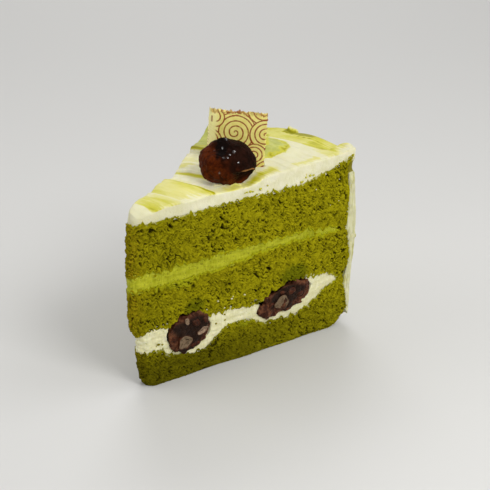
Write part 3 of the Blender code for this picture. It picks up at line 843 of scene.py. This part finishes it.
def icing_body():
    bm = merged("icing")
    bm.normal_update()
    for vert in bm.verts:
        outward = vert.normal.dot((vert.co / MM - MIDDLE).normalized())
        if vert.normal.z < -0.5:
            vert.co.z -= CREAM_GROWTH * MM
        elif outward < -0.5:
            vert.co -= NEAR_WAY.lerp(FAR_WAY, 0.5).normalized() * CREAM_GROWTH * MM
    for middle, sizes in FILLS:
        for vert in bmesh.ops.create_cube(bm, size=1.0)["verts"]:
            x, y, z = (part * size for part, size in zip(vert.co, sizes))
            vert.co = (middle + ASIDE * x + AWAY * y + UP * z) * MM
    return smoothed(reskinned(new_piece("spread_icing", bm), CREAM_CELL), 12)


# %% [markdown]
# Which parts of the icing a point belongs to is worked out once, and both the shape and the
# colours use it. So a ridge and its streak, or the flick of cream on the rim and its pale
# colour, can't drift apart.

# %% Parts of the icing
TOP_COAT = (78, 84)                        # between these heights the sides pass into the top
FLICK = (116.2, 38.4, 3.1)                 # pale lump on the rim: along, depth, radius


class Spread(Place):
    """Where points lie in the icing, and how much they belong to each part of it, from 0 to 1."""

    def __init__(self, points, normals):
        super().__init__(points)
        self.normals = normals
        self.top = smooth(0.35, 0.7, normals[:, 2]) * (self.z > TOP_COAT[0])
        self.sweep = self.s + SWEEP_SLANT * self.deep + 0.8 * noise_at(points, 7.0, 20)
        self.swing = self.s * self.turn
        self.lines = np.stack([self.sweep, self.swing, 0 * self.swing], 1)
        self.face = exposed(self, normals) * (1 - self.top)
        self.back = smooth(115.8, 117.2, self.s) * smooth(86, 83, self.z)
        self.notch = self.back * band(self.z, 77.5, 83.0, 1.5, 1.2) * smooth(8, 3, self.deep)
        along, deep, radius = FLICK
        self.from_flick = np.hypot(self.along - along, self.deep - deep) + 0.8 * noise_at(points, 1.6, 27)
        self.flick = smooth(radius, radius - 1.0, self.from_flick)


# %% [markdown]
# The top gets its strokes, a ridge at the end of each, and a step where the dab of matcha
# cream stands higher. At the tip the icing droops towards the near face. The cut face is
# nearly flat, and the back is rough, with a notch that bares some crumb below the rim.

# %% Relief of the icing
# sweep, height and width of each ridge
RIDGES = ((31.6, 0.45, 0.6), (47.4, 0.7, 0.8), (61.2, 0.7, 0.7), (74.5, 0.6, 0.6), (112.6, 0.4, 0.6))
CORNER_LOBE = (123.5, 4.5, 4.2, 0.8)       # along, depth, radius, height
SWIRL_STEP = 2.0                           # the dab stands this much higher at the far cut face
TIP_DROOP = 2.0
RIM_DIP = 2.5                              # the rim sinks by this behind the near corner
NOTCH_DEPTH = 1.4


def spread_form(place):
    """Where the points of the icing go, in millimetres."""
    points = place.points
    relief = 0.3 * noise_at(place.lines, (2.6, 16.0, 1), 21)
    relief += 0.14 * noise_at(place.lines, (0.9, 10.0, 1), 22)
    for middle, height, width in RIDGES:
        past = place.sweep - middle
        relief += height * smooth(-6, 0, past) * smooth(width, 0, past)
    along, deep, radius, height = CORNER_LOBE
    lobe = height * smooth(radius, 0.3 * radius, np.hypot(place.along - along, place.deep - deep))
    step = SWIRL_STEP * band(place.s, 72.4, 95.0, 0.9, 4.0) * smooth(18, 6, place.far_deep)
    droop = TIP_DROOP * smooth(26, 9, place.s) * smooth(0.4, -1, place.turn / HALF_ANGLE)
    step += 1.8 * place.flick - 1.6 * np.exp(-(place.from_flick / 5.0) ** 2)
    step -= RIM_DIP * band(place.deep, 9.0, 18.0, 1.6, 12.0) * smooth(108, 121, place.s)
    wobble = 0.2 * noise_at(points, (9, 9, 3), 23)
    dip = CREAM_SUNK + CREAM_DIP * smooth(0.3, 1.6, distance_to(points, "icing", 1.6))
    wobble -= smooth(84, 80, place.z) * dip
    wobble += 0.7 * place.back * noise_at(points, (2.2, 2.2, 3.0), 28)
    raised = smooth(*TOP_COAT, place.z)
    moved = points + place.normals * (relief * place.top + wobble * place.face + lobe)[:, None]
    moved -= place.radial * NOTCH_DEPTH * place.notch[:, None]
    moved[:, 2] += (step - droop) * raised
    moved[:, 0] -= smooth(11, 4, place.s) * raised
    return moved


# %% [markdown]
# Powder lies on the strokes and the smears, round the edge of the dab, along its step, and
# thinly on the rim. The dab itself is matcha cream, which the material mixes in.

# %% Powder on the icing
# the dab that the plaque leans on: along and depth of a line's ends, and its reach from that line
SWIRL = (89.5, 28.0, 70.0, 46.0, 13.6)
MOST_POWDER = 1.7


def powder_on(place):
    """How much powder lies at each point, and how far the point belongs to the dab."""
    fray = noise_at(place.lines, (0.8, 18.0, 1), 25) + 0.5 * noise_at(place.points, 1.5, 26)
    lobes = noise_at(place.points, 2.4, 29) + 0.5 * noise_at(place.points, 1.1, 30)
    far_side = smooth(20, 12, place.far_deep)
    swirl = from_line(place, *SWIRL[:4]) - SWIRL[4] + 0.8 * lobes
    on_swirl = smooth(0.8, -0.8, swirl) * (place.z > 84)
    on_swirl *= 1 - smooth(73.2, 72.4, place.s) * far_side
    powder = matcha_on(place, place.sweep, fray) * place.top * (1 - on_swirl)
    powder += on_swirl * (0.2 + 0.55 * smooth(-4.5, -0.5, swirl + 2 * lobes) * smooth(34, 24, place.deep))
    powder += on_swirl * 0.3 * smooth(-2.0, 0, swirl + lobes)
    powder += band(place.s, 72.8, 74.4, 0.4, 0.8) * far_side * place.top
    for line in THIN_LINES:
        powder += 0.5 * smooth(1.8, 0.2, from_line(place, *line)) * place.top
    rim = smooth(117.9, 119.0, place.s - 1.2 * fray) * smooth(84, 86, place.z) * smooth(4, 9, place.deep)
    powder += rim * (0.1 + 0.2 * smooth(14, 24, place.deep) * smooth(36, 30, place.deep))
    powder = powder * (1 - place.flick) + 0.2 * place.flick
    return np.minimum(MOST_POWDER, powder), on_swirl


def make_icing():
    piece = icing_body()
    mesh = piece.data
    points = points_of(mesh)
    place = Spread(points, normals_of(mesh))
    moved = spread_form(place)
    powder, on_swirl = powder_on(place)
    by_nut = np.hypot(points[:, 0] - NUT_FOOT.x, points[:, 1] - NUT_FOOT.y)
    marks = {"bare": place.notch, "matcha": powder, "swirl": on_swirl, "sweep": place.sweep,
             "swing": place.swing, "back": place.back, "tip": smooth(10, 3, place.s),
             "low": place.face * smooth(88, 80, place.z) * (0.5 + 0.5 * smooth(70, 90, place.s)),
             # flat marks painted shade: a greyer cream on the top towards the rim, and near the tip.
             "flat": np.maximum(place.top * smooth(66, 84, place.s) * (1 - on_swirl),
                                smooth(45, 25, place.s)),
             # by_nut marks painted light near the chestnut, which lifts its shadow.
             "by_nut": smooth(32, 12, by_nut) * smooth(80, 70, place.s) * place.top}
    for label, values in marks.items():
        store(mesh, label, values)
    move_points(mesh, moved)
    return thinned(piece, MOST_TRIANGLES)


# %% [markdown]
# The icing goes from white through pale yellow-green to olive as the powder gets thicker.
# Its streaks follow the strokes, because the noise reads sweep and swing and not x and y.
# Near the chestnut the icing is painted a little brighter and yellower: painted light that
# lifts the chestnut's shadow. Painted shade makes the top a greyer cream towards the rim and
# near the tip.

# %% Icing material
# from and to of the powder, and the colour that it reaches
POWDER_STEPS = ((0.3, 0.68, colour(194, 189, 54)), (0.66, 1.0, colour(158, 152, 10)),
                (1.05, 1.5, colour(142, 138, 0)))


def paint_icing():
    paint = Paint("icing", roughness=0.55, Specular_IOR_Level=0.2, Subsurface_Weight=0.3,
                  Subsurface_Scale=1.5 * MM, Subsurface_Radius=(1.0, 0.85, 0.4))
    level = paint.node("ShaderNodeSeparateXYZ", {}, paint.place(), output=2)
    where = paint.vector(paint.attribute("sweep"), paint.attribute("swing"), level)
    thin = paint.node("ShaderNodeVectorMath", {"operation": "MULTIPLY"}, where, (0.9, 0.1, 0.9))
    wide = paint.node("ShaderNodeVectorMath", {"operation": "MULTIPLY"}, where, (0.25, 0.09, 0.2))
    streak = paint.noise(1.0, thin, detail=4.0, roughness=0.6)
    broad = paint.noise(1.0, wide, detail=3.0)
    cloud = paint.noise(3.5, detail=3.0)
    base = paint.mix(cloud.ramp(0.3, 0.7), colour(220, 216, 176), colour(229, 225, 196))
    # Painted shade: greyer cream where flat is set.
    base = paint.mix(paint.attribute("flat") * 0.6, base, colour(210, 206, 166))
    powder = paint.attribute("matcha")
    amount = powder * (streak * 0.5 + broad * 1.1 + 0.2) + (streak - 0.5) * 0.1 * powder.ramp(0.0, 0.2)
    base = paint.mix(amount.ramp(0.0, 0.36), base, colour(212, 206, 128))
    dab = paint.mix(cloud.ramp(0.3, 0.7), colour(158, 164, 58), colour(184, 187, 88))
    base = paint.mix(paint.attribute("swirl") * 0.85, base, dab)
    for low, high, shade in POWDER_STEPS:
        base = paint.mix(amount.ramp(low, high), base, shade)
    speck = paint.noise(1.3, paint.place((1, 1, 1.8)), detail=2.0, roughness=0.6)
    base = paint.mix((speck + paint.attribute("low") * 0.06).ramp(0.75, 0.78), base, colour(206, 192, 60))
    back, tip = paint.attribute("back"), paint.attribute("tip")
    base = paint.mix(back * 0.75, base, colour(198, 196, 154))
    upright = paint.noise(1.6, paint.place((1, 1, 7)), detail=5.0, roughness=0.65)
    patchy = paint.noise(14.0, detail=2.0).ramp(0.35, 0.6, 0.3, 1.0)
    base = paint.mix(back * upright.ramp(0.46, 0.66) * patchy * 0.75, base, colour(158, 154, 40))
    base = paint.mix(tip.ramp(0.2, 0.9) * cloud.ramp(0.45, 0.6) * 0.7, base, colour(196, 158, 66))
    base = paint.mix(tip.ramp(0.8, 1.0) * speck.ramp(0.45, 0.6) * 0.8, base, colour(186, 132, 44))
    base = paint.mix((paint.attribute("bare") + speck * 0.6).ramp(0.6, 0.9), base, colour(122, 114, 10))
    # Painted light: near the chestnut the colour is made brighter and yellower to lift its shadow.
    nut_shadow_lift = paint.attribute("by_nut")
    base = paint.node("ShaderNodeHueSaturation", {}, 0.5, nut_shadow_lift * 0.05 + 1.0, nut_shadow_lift * 0.22 + 1.0, 1.0, base)
    paint.set("Base Color", base)
    paint.bump(streak, 0.2)
    return paint.material


serve(make_icing(), ["icing"], paint_icing())

# %% [markdown]
# The plaque is a thin sheet of white chocolate, peeled off a printed film while it was
# still soft enough to curl at one end. It starts as a grid, gets its thickness by an
# extrusion, and is then laid along its curl. Its edges broke off unevenly.

# %% Plaque
PLAQUE_WIDTH = 26.0
PLAQUE_HEIGHT = 24.6
PLAQUE_SUNK = 2.6
PLAQUE_THICK = 1.2
PLAQUE_LEAN = math.radians(4.1)
CURL_START = 20.3                          # the sheet is straight up to here, and then curls away
CURL_RADIUS = 4.6
WORN_EDGE = 3.0                            # the top edge is chipped and thin over this height


def plaque_place(along, height, depth):
    """Point of the plaque: along its width from the right, up, and through its thickness."""
    lean = Matrix.Rotation(PLAQUE_LEAN, 3, AWAY)
    straight = min(along, CURL_START)
    turn = max(0.0, along - CURL_START) / CURL_RADIUS
    left = straight + (CURL_RADIUS + depth) * math.sin(turn)
    back = CURL_RADIUS * (1 - math.cos(turn)) - depth * math.cos(turn) + depth
    return PLAQUE_FOOT + lean @ (ASIDE * -left + UP * height) + AWAY * (back - depth)


def make_plaque():
    bm = bmesh.new()
    bmesh.ops.create_grid(bm, x_segments=96, y_segments=100, size=0.5)
    raised = bmesh.ops.extrude_face_region(bm, geom=bm.faces[:])["geom"]
    lid = [part for part in raised if isinstance(part, bmesh.types.BMVert)]
    bmesh.ops.translate(bm, vec=(0, 0, 1), verts=lid)
    walls = [edge for edge in bm.edges if abs(edge.verts[0].co.z - edge.verts[1].co.z) > 0.5]
    bmesh.ops.subdivide_edges(bm, edges=walls, cuts=3, use_grid_fill=True)
    along_layer = bm.verts.layers.float.new("along")
    height_layer = bm.verts.layers.float.new("height")
    for vert in bm.verts:
        along = (vert.co.x + 0.5) * PLAQUE_WIDTH
        height = -PLAQUE_SUNK + (vert.co.y + 0.5) * (PLAQUE_HEIGHT + PLAQUE_SUNK)
        vert[along_layer], vert[height_layer] = along, height
        spot = Vector((along, height, 3 * vert.co.z))
        near_top = float(smooth(PLAQUE_HEIGHT - WORN_EDGE, PLAQUE_HEIGHT, height))
        near_end = float(smooth(1.2, 0, min(along, PLAQUE_WIDTH - along)))
        chips = 1.2 * noise.noise(spot * 0.4) + 1.1 * noise.noise(spot * 1.3)
        chips += 0.6 * noise.noise(spot * 2.6)
        height += near_top ** 2 * chips
        along += near_end * 0.7 * noise.noise(spot * 1.1 + Vector((5, 0, 0)))
        crinkle = 0.5 * near_top * noise.noise(Vector((along * 1.1, height * 0.5, 9)))
        depth = (vert.co.z - 0.5) * PLAQUE_THICK * (1 - 0.3 * near_top) + crinkle
        vert.co = plaque_place(along, height, depth) * MM
    bmesh.ops.recalc_face_normals(bm, faces=bm.faces)
    return new_piece("printed_plaque", bm)


# %% [markdown]
# The print is a traditional pattern: discs that overlap like clouds, each with a spiral in
# it. A spiral line is where distance from the disc's middle, counted in line spacings,
# and the angle round it add up to a whole turn. Each disc covers those laid before it.

# %% Print of the plaque
LINE_HALF = 0.29                           # half the width of a printed line
# middle along and up, radius, spacing, way round, start
DISCS = ((17.0, 25.5, 6.5, 2.0, 1, 0.1), (10.0, 28.0, 6.2, 1.9, -1, 0.4), (2.0, 27.0, 8.8, 2.1, 1, 0.3),
         (18.0, 3.0, 6.6, 2.0, 1, 0.2), (10.0, 2.8, 6.0, 2.0, -1, 0.1), (13.5, 15.4, 9.2, 2.3, -1, 0.45),
         (22.6, 21.6, 4.2, 2.4, 1, 0.0), (24.6, 11.0, 5.6, 2.2, 1, 0.2), (23.5, 4.0, 4.6, 1.9, -1, 0.3),
         (0.3, 15.0, 6.7, 2.1, -1, 0.35), (4.3, 5.5, 5.2, 1.9, 1, 0.25), (-1.5, -2.0, 5.2, 1.9, 1, 0.6))


def spiral_print(paint):
    """1 where the brown print lies, 0 on bare chocolate."""
    along, height = paint.attribute("along"), paint.attribute("height")
    worn = paint.noise(1.3, detail=2.0) * 0.3 - 0.15
    ink = along * 0.0
    for middle, level, radius, spacing, way, start in DISCS:
        across, over = along - middle, height - level
        reach = (across * across + over * over).math("SQRT")
        angle = over.math("ARCTAN2", across)
        turns = reach / spacing + angle * (way / math.tau) + start
        off_spiral = (turns.math("FRACT") - 0.5).math("ABSOLUTE") * spacing
        off_rim = (reach - radius).math("ABSOLUTE")
        line = (off_spiral.math("MINIMUM", off_rim) + worn).ramp(LINE_HALF + 0.12, LINE_HALF - 0.12)
        inside = reach.ramp(radius + LINE_HALF, radius + LINE_HALF - 0.05)
        ink = ink * (1 - inside) + line * inside
    return ink


# %% [markdown]
# The chocolate wavers between two creamy yellows and tans where its top edge is worn. The
# curled end is painted paler, as painted light on its turned-away face, and is nearly bare:
# the film left only one tick and a row of ticks there.

# %% Plaque material
INK = colour(146, 64, 12)
TICK = (23.7, 20.6)                        # the one tick: along and height of its middle
TICK_ROW = (24.8, 11.0)                    # the row: where it starts along, and its middle height


def paint_plaque():
    paint = Paint("printed chocolate", roughness=0.42, Subsurface_Weight=0.15, Subsurface_Scale=1.0 * MM,
                  Subsurface_Radius=(1.0, 0.8, 0.4))
    cloud = paint.noise(2.5, detail=4.0, roughness=0.6)
    along, height = paint.attribute("along"), paint.attribute("height")
    base = paint.mix(cloud.ramp(0.3, 0.7), colour(228, 214, 112), colour(240, 228, 138))
    # Painted light: the curl, which turns away from the lamps, is painted paler.
    curl = along.ramp(CURL_START - 0.5, CURL_START + 2.5)
    base = paint.mix(curl * 0.8, base, colour(250, 242, 168))
    bare = along.ramp(CURL_START + 0.8, CURL_START + 1.8)
    faded = paint.noise(1.0, detail=3.0, roughness=0.7).ramp(0.3, 0.5, 0.6, 1.0) * (1 - bare * 0.94)
    tick = (along - TICK[0]).math("ABSOLUTE").ramp(0.5, 0.3)
    tick = tick * (height - TICK[1]).math("ABSOLUTE").ramp(1.5, 1.2)
    row = (height * 0.75).math("PINGPONG", 0.5).ramp(0.14, 0.06)
    row = row * (height - TICK_ROW[1]).math("ABSOLUTE").ramp(4.6, 4.0)
    ticks = tick + row * along.ramp(TICK_ROW[0], TICK_ROW[0] + 0.4)
    base = paint.mix(spiral_print(paint) * faded + ticks * 0.75, base, INK)
    worn_edge = (height + cloud * 3.0).ramp(PLAQUE_HEIGHT - 0.5, PLAQUE_HEIGHT + 1.5)
    base = paint.mix(worn_edge * cloud.ramp(0.4, 0.6) * 0.8, base, colour(190, 150, 62))
    paint.set("Base Color", base)
    paint.bump(cloud, 0.12)
    return paint.material


serve(make_plaque(), ["plaque"], paint_plaque())

# %% [markdown]
# The chestnut was candied whole and glazed. Its form is the solid's, and its skin adds
# a rough pit, a fold where the skin slipped, grooves, and drops of syrup. Places on it are
# given as seen from its front, a little from above.

# %% Form of the chestnut
NUT_HALF = Vector((11.8, 9.4, 9.8))        # half sizes: aside, away and up
NUT_SEAT = 0.93                            # its flat foot, as a share of its half height
NUT_PIT = (Vector((-0.2, -0.5, 0.84)), 0.17, 0.34)          # where, how deep, how wide
NUT_FOLD = (Vector((0.62, -0.62, -0.3)), 0.07, 0.22)
NUT_GROOVES = (math.radians(-128), math.radians(-96), math.radians(170))
NUT_GROOVE_SIZE = (0.055, 0.16)            # how deep and how wide


def chestnut_form(way):
    """The solid's own shape in one direction, in millimetres."""
    size = 1.0 + 0.05 * (abs(way.x) ** 3 + abs(way.y) ** 3) + 0.035 * noise.noise(way * 1.6)
    for middle, depth, width in (NUT_PIT, NUT_FOLD):
        size -= depth * math.exp(-(way.angle(middle) / width) ** 2)
    turn = math.atan2(way.y, way.x)
    low = float(smooth(0, 0.6, 0.25 - way.z))
    for groove in NUT_GROOVES:
        swing = math.remainder(turn - groove, 2 * math.pi)
        size -= NUT_GROOVE_SIZE[0] * low * math.exp(-(swing / NUT_GROOVE_SIZE[1]) ** 2)
    local = Vector((way.x * NUT_HALF.x, way.y * NUT_HALF.y, way.z * NUT_HALF.z)) * size
    local.z = max(local.z, -NUT_HALF.z * NUT_SEAT)
    return local


# %% [markdown]
# Seen from its front, each point of the skin has a place across and up. The pit, the
# darker right half, the fold with its lip and the grooves are all told from that place,
# with some noise so that no edge is even. The same numbers shape and colour the nut: the
# lip gets a painted highlight, and the grooves and the hollow under the lip painted shade.

# %% Skin of the chestnut
NUT_TILT = math.radians(24)                # the front is seen from this much above
NUT_MIDDLE = NUT_FOOT + UP * NUT_HALF.z * NUT_SEAT
NUT_RISE = UP * math.cos(NUT_TILT) + AWAY * math.sin(NUT_TILT)
NUT_FRONT = UP * math.sin(NUT_TILT) - AWAY * math.cos(NUT_TILT)
# across, up, height, width
NUT_BULGES = ((-8.0, -6.5, 0.7, 3.5), (-2.0, 9.0, 1.4, 2.6), (-5.5, 8.0, 0.9, 2.2), (-4.0, -9.0, 0.5, 3.0))
# across, up, radius
SYRUP_DROPS = ((2.9, 3.6, 0.7), (1.1, 2.4, 0.45), (-1.3, 1.0, 0.45), (0.2, 1.1, 0.45), (-0.4, 8.6, 0.45),
               (-2.0, 5.3, 0.45), (4.9, -0.9, 0.4), (-3.3, -5.4, 0.45), (-5.6, 4.6, 0.3))


def nut_skin(centred, across):
    """How far the skin stands off the form, and how far it is in the pit, dark, on the lip (painted
    highlight), grooved or under the lip (painted shade), and wet.
    """
    rise, front = centred.dot(NUT_RISE), float(smooth(-1, 2, centred.dot(NUT_FRONT)))
    wander = noise.noise(centred * 0.35)
    pit_gap = math.hypot((across + 1.9 + 0.1 * rise) / 3.1, (rise - 5.2) / 4.6) + 0.7 * wander
    pit_gap += 0.35 * noise.noise(centred * 1.2)
    in_pit = front * float(smooth(1.45, 0.55, pit_gap))
    edge = rise + 6.0 - 0.22 * (across + 0.1) - 0.4 * wander
    right = front * float(smooth(0.5, 6.5, across))
    below = right * float(smooth(0.15, -0.3, edge))
    lip = right * math.exp(-((edge - 0.45) / 0.34) ** 2) * float(smooth(4.0, 8, across))
    dark = float(smooth(-3.5, 4.5, across + 2.3 + 0.5 * rise + 4.0 * wander))
    dark *= float(smooth(-8.5, -4.5, rise))
    creases = abs(noise.noise(Vector((across * 0.45, rise * 0.12, centred.z * 0.1))))
    groove = front * math.exp(-((across + 3.2 + 1.5 * wander) / 0.95) ** 2)
    groove *= float(smooth(-2.5, -5.0, rise))
    height = 0.25 * noise.noise(centred * 0.8) + 0.1 * noise.noise(centred * 2.2)
    height += 0.6 * noise.noise(centred * 0.15)
    height += in_pit * (0.55 * noise.noise(centred * 1.3) + 0.3 * noise.noise(centred * 3.1) - 0.35)
    height += 0.3 * lip - 1.9 * below - 0.6 * groove - 0.25 * (1 - dark) * float(smooth(0.12, 0, creases))
    for bulge_across, bulge_rise, size, wide in NUT_BULGES:
        gap = math.hypot(across - bulge_across, rise - bulge_rise) / wide
        height += front * size * math.exp(-gap * gap)
    syrup = 0.0
    for drop_across, drop_rise, radius in SYRUP_DROPS:
        gap = math.hypot(across - drop_across, rise - drop_rise) / radius
        syrup = max(syrup, front * max(0.0, 1 - gap * gap))
        height += front * 0.7 * radius * max(0.0, 1 - gap * gap)
    return height, (in_pit, dark, lip, max(0.5 * groove, below), min(1.0, 2 * syrup))


def make_chestnut():
    bm = bmesh.new()
    bmesh.ops.create_icosphere(bm, subdivisions=6, radius=1.0)
    labels = [bm.verts.layers.float.new(name) for name in ("in_pit", "dark", "lip", "groove", "syrup")]
    for vert in bm.verts:
        local = chestnut_form(vert.co.normalized())
        centred = ASIDE * local.x + AWAY * local.y + UP * local.z
        height, marks = nut_skin(centred, local.x)
        for label, value in zip(labels, marks):
            vert[label] = value
        vert.co = (NUT_MIDDLE + centred + centred.normalized() * height) * MM
    return new_piece("candied_chestnut", bm)


# %% [markdown]
# Candied chestnut is amber where it is thin and nearly black where it is thick and in its
# pit. The lip is painted pale as a highlight, and the grooves and the hollow under the lip
# are painted dark as shade. The skin itself is dull; only the drops of syrup have a clear
# coat, and give small highlights.

# %% Chestnut material
def paint_chestnut():
    paint = Paint("chestnut glaze", roughness=0.5, Specular_IOR_Level=0.04, Specular_Tint=(1, 0.6, 0.4, 1),
                  Coat_Roughness=0.15, Coat_IOR=2.2)
    blotch = paint.noise(2.2, detail=4.0, roughness=0.6)
    fine = paint.noise(0.7, detail=3.0, roughness=0.6)
    base = paint.mix(blotch.ramp(0.35, 0.65), colour(56, 19, 5), colour(88, 36, 9))
    dark = paint.mix(blotch.ramp(0.35, 0.65), colour(18, 6, 3), colour(34, 14, 8))
    base = paint.mix(paint.attribute("dark"), base, dark)
    # Painted shade in the grooves and in the hollow under the lip.
    base = paint.mix(paint.attribute("groove").ramp(0.1, 0.9) * 0.85, base, colour(18, 7, 4))
    # Nearly black in the pit.
    base = paint.mix(paint.attribute("in_pit").ramp(0.05, 0.95), base, colour(14, 9, 8))
    # Painted highlight along the lip of the fold.
    base = paint.mix(paint.attribute("lip").ramp(0.2, 0.8) * 0.8, base, colour(152, 106, 58))
    base = paint.mix(fine.ramp(0.58, 0.72) * 0.4, base, colour(30, 12, 8))
    paint.set("Base Color", base)
    paint.set("Coat Weight", paint.attribute("syrup"))
    paint.bump(fine, 0.2)
    return paint.material


serve(make_chestnut(), ["chestnut"], paint_chestnut())

# %% [markdown]
# A knife leaves crumbs behind. Moist ones cling to the layers of cream, dry pale ones to
# the cut edge of the icing, and a few flecks of cream were dragged onto the sponge. All are
# thrown at the near cut face at random places, and stick where a ray meets the surface. The
# random numbers start from a fixed seed, so the same crumbs fall each time.

# %% Loose crumbs and flecks of cream
# piece, lowest and highest along, lowest and highest height, how many
CRUMB_FALLS = (("white_cream_layer", 2, 30, 12, 32, 14), ("white_cream_layer", 30, 100, 8, 32, 14),
               ("matcha_cream_layer", 4, 112, 36, 56, 40))
DRY_CRUMB_FALLS = (("spread_icing", 62, 114, 75, 81, 28),)
CREAM_FLECK_FALLS = (("crumb_middle", 42, 64, 27, 33, 7), ("crumb_top", 98, 116, 62, 76, 4))
FALL_START = 12                            # they are thrown from this far in front of the cut
FALL_REACH = 3                             # one is lost if the surface is further than this from the cut


def make_crumbs(name, falls, seed, largest):
    random.seed(seed)
    bm = bmesh.new()
    for host, low, high, bottom, top, count in falls:
        tree = BVHTree.FromObject(bpy.data.objects[host], bpy.context.evaluated_depsgraph_get())
        for number in range(count):
            start = MIDDLE + NEAR_WAY * random.uniform(low, high) + UP * random.uniform(bottom, top)
            hit = tree.ray_cast((start - NEAR_IN * FALL_START) * MM, NEAR_IN)[0]
            if hit is None or (hit / MM - start).length > FALL_REACH:
                continue
            size = random.uniform(0.4, 1.0) * largest
            for vert in bmesh.ops.create_icosphere(bm, subdivisions=2, radius=1.0)["verts"]:
                bump = 1 + 0.6 * noise.noise(vert.co * 1.5 + Vector((number, 0, 0)))
                vert.co = hit + vert.co * Vector((1.3, 1.0, 0.9)) * (size * bump * MM)
    return new_piece(name, bm)


dry_crumb = Paint("dry crumb", roughness=0.9, Specular_IOR_Level=0.1)
dry_crumb.set("Base Color", colour(188, 184, 60))
bpy.context.view_layer.update()
serve(make_crumbs("loose_crumbs", CRUMB_FALLS, 7, 0.6), [], crumb)
serve(make_crumbs("dry_crumbs", DRY_CRUMB_FALLS, 3, 0.65), [], dry_crumb.material)
serve(make_crumbs("cream_flecks", CREAM_FLECK_FALLS, 5, 0.5), [], white)

# %% [markdown]
# The floor is a pale sheet, and soft light comes from large lamps, as in a studio. Colours
# are shown as they were measured, without the film look that Blender adds by default.

# %% Floor and lamps
LAMP_AIM = (0, 0, 0.05)
# name, place and aim in metres, size, power
LAMPS = (("key", (-0.12, -0.5, 0.5), LAMP_AIM, 0.26, 2.3), ("side", (0.35, -0.4, 0.55), LAMP_AIM, 0.5, 1.2),
         ("left", (-0.32, 0.4, 0.36), LAMP_AIM, 0.4, 0.8), ("back", (1.1, 1.0, 1.2), (0.9, 0.8, 0), 1.0, 10))


def make_floor():
    bm = bmesh.new()
    bmesh.ops.create_grid(bm, x_segments=1, y_segments=1, size=3.0)
    floor = new_piece("floor", bm)
    paint = Paint("pale floor", roughness=0.6)
    paint.set("Base Color", colour(208, 207, 204))
    floor.data.materials.append(paint.material)
    floor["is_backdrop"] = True


def add_lamp(name, place, aim, size, power):
    light = bpy.data.lights.new(name, "AREA")
    light.size = size
    light.energy = power
    lamp = bpy.data.objects.new(name, light)
    lamp.location = Vector(place)
    lamp.rotation_mode = "QUATERNION"
    lamp.rotation_quaternion = (Vector(aim) - Vector(place)).to_track_quat("-Z", "Y")
    bpy.context.scene.collection.objects.link(lamp)


def light_world():
    world = bpy.data.worlds.new("studio")
    world.use_nodes = True
    sky = world.node_tree.nodes["Background"].inputs
    sky["Color"].default_value = colour(225, 225, 225)
    sky["Strength"].default_value = 0.6
    bpy.context.scene.world = world


make_floor()
light_world()
for name, place, aim, size, power in LAMPS:
    add_lamp(name, place, aim, size, power)
bpy.context.scene.view_settings.view_transform = "Standard"
print("lamps:", ", ".join(lamp[0] for lamp in LAMPS))

# %% [markdown]
# The camera stands half a metre off, in front of the near cut face and well above it. Its
# lens is a long one, so edges that run away from it keep nearly the same direction.

# %% Camera
CAMERA_STAND = Vector((-310.864, -317.403, 269.221))        # from the cake's middle, in millimetres
CAMERA_WAY = (0.71008, 0.57318, -0.40897)
CAMERA_LENS = 88.163
SENSOR_WIDTH = 36.0


def add_camera(place, way, lens):
    camera = bpy.data.cameras.new("camera")
    camera.sensor_width = SENSOR_WIDTH
    camera.lens = lens
    holder = bpy.data.objects.new("camera", camera)
    holder.location = place
    holder.rotation_mode = "QUATERNION"
    holder.rotation_quaternion = Vector(way).to_track_quat("-Z", "Y")
    bpy.context.scene.collection.objects.link(holder)
    bpy.context.scene.camera = holder


add_camera((MIDDLE + CAMERA_STAND) * MM, CAMERA_WAY, CAMERA_LENS)
print("camera", round(CAMERA_STAND.length), "mm from the middle of the cake")

# %% [markdown]
# The box of the finished slice is measured, and how far it grew past the solids' box is printed.

# %% Sizes, and the last line
visual_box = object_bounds()
grown = [round((seen - solid) / MM, 2) for pair in zip(cad_box, visual_box) for solid, seen in zip(*pair)]
print("grown by", grown, "mm")
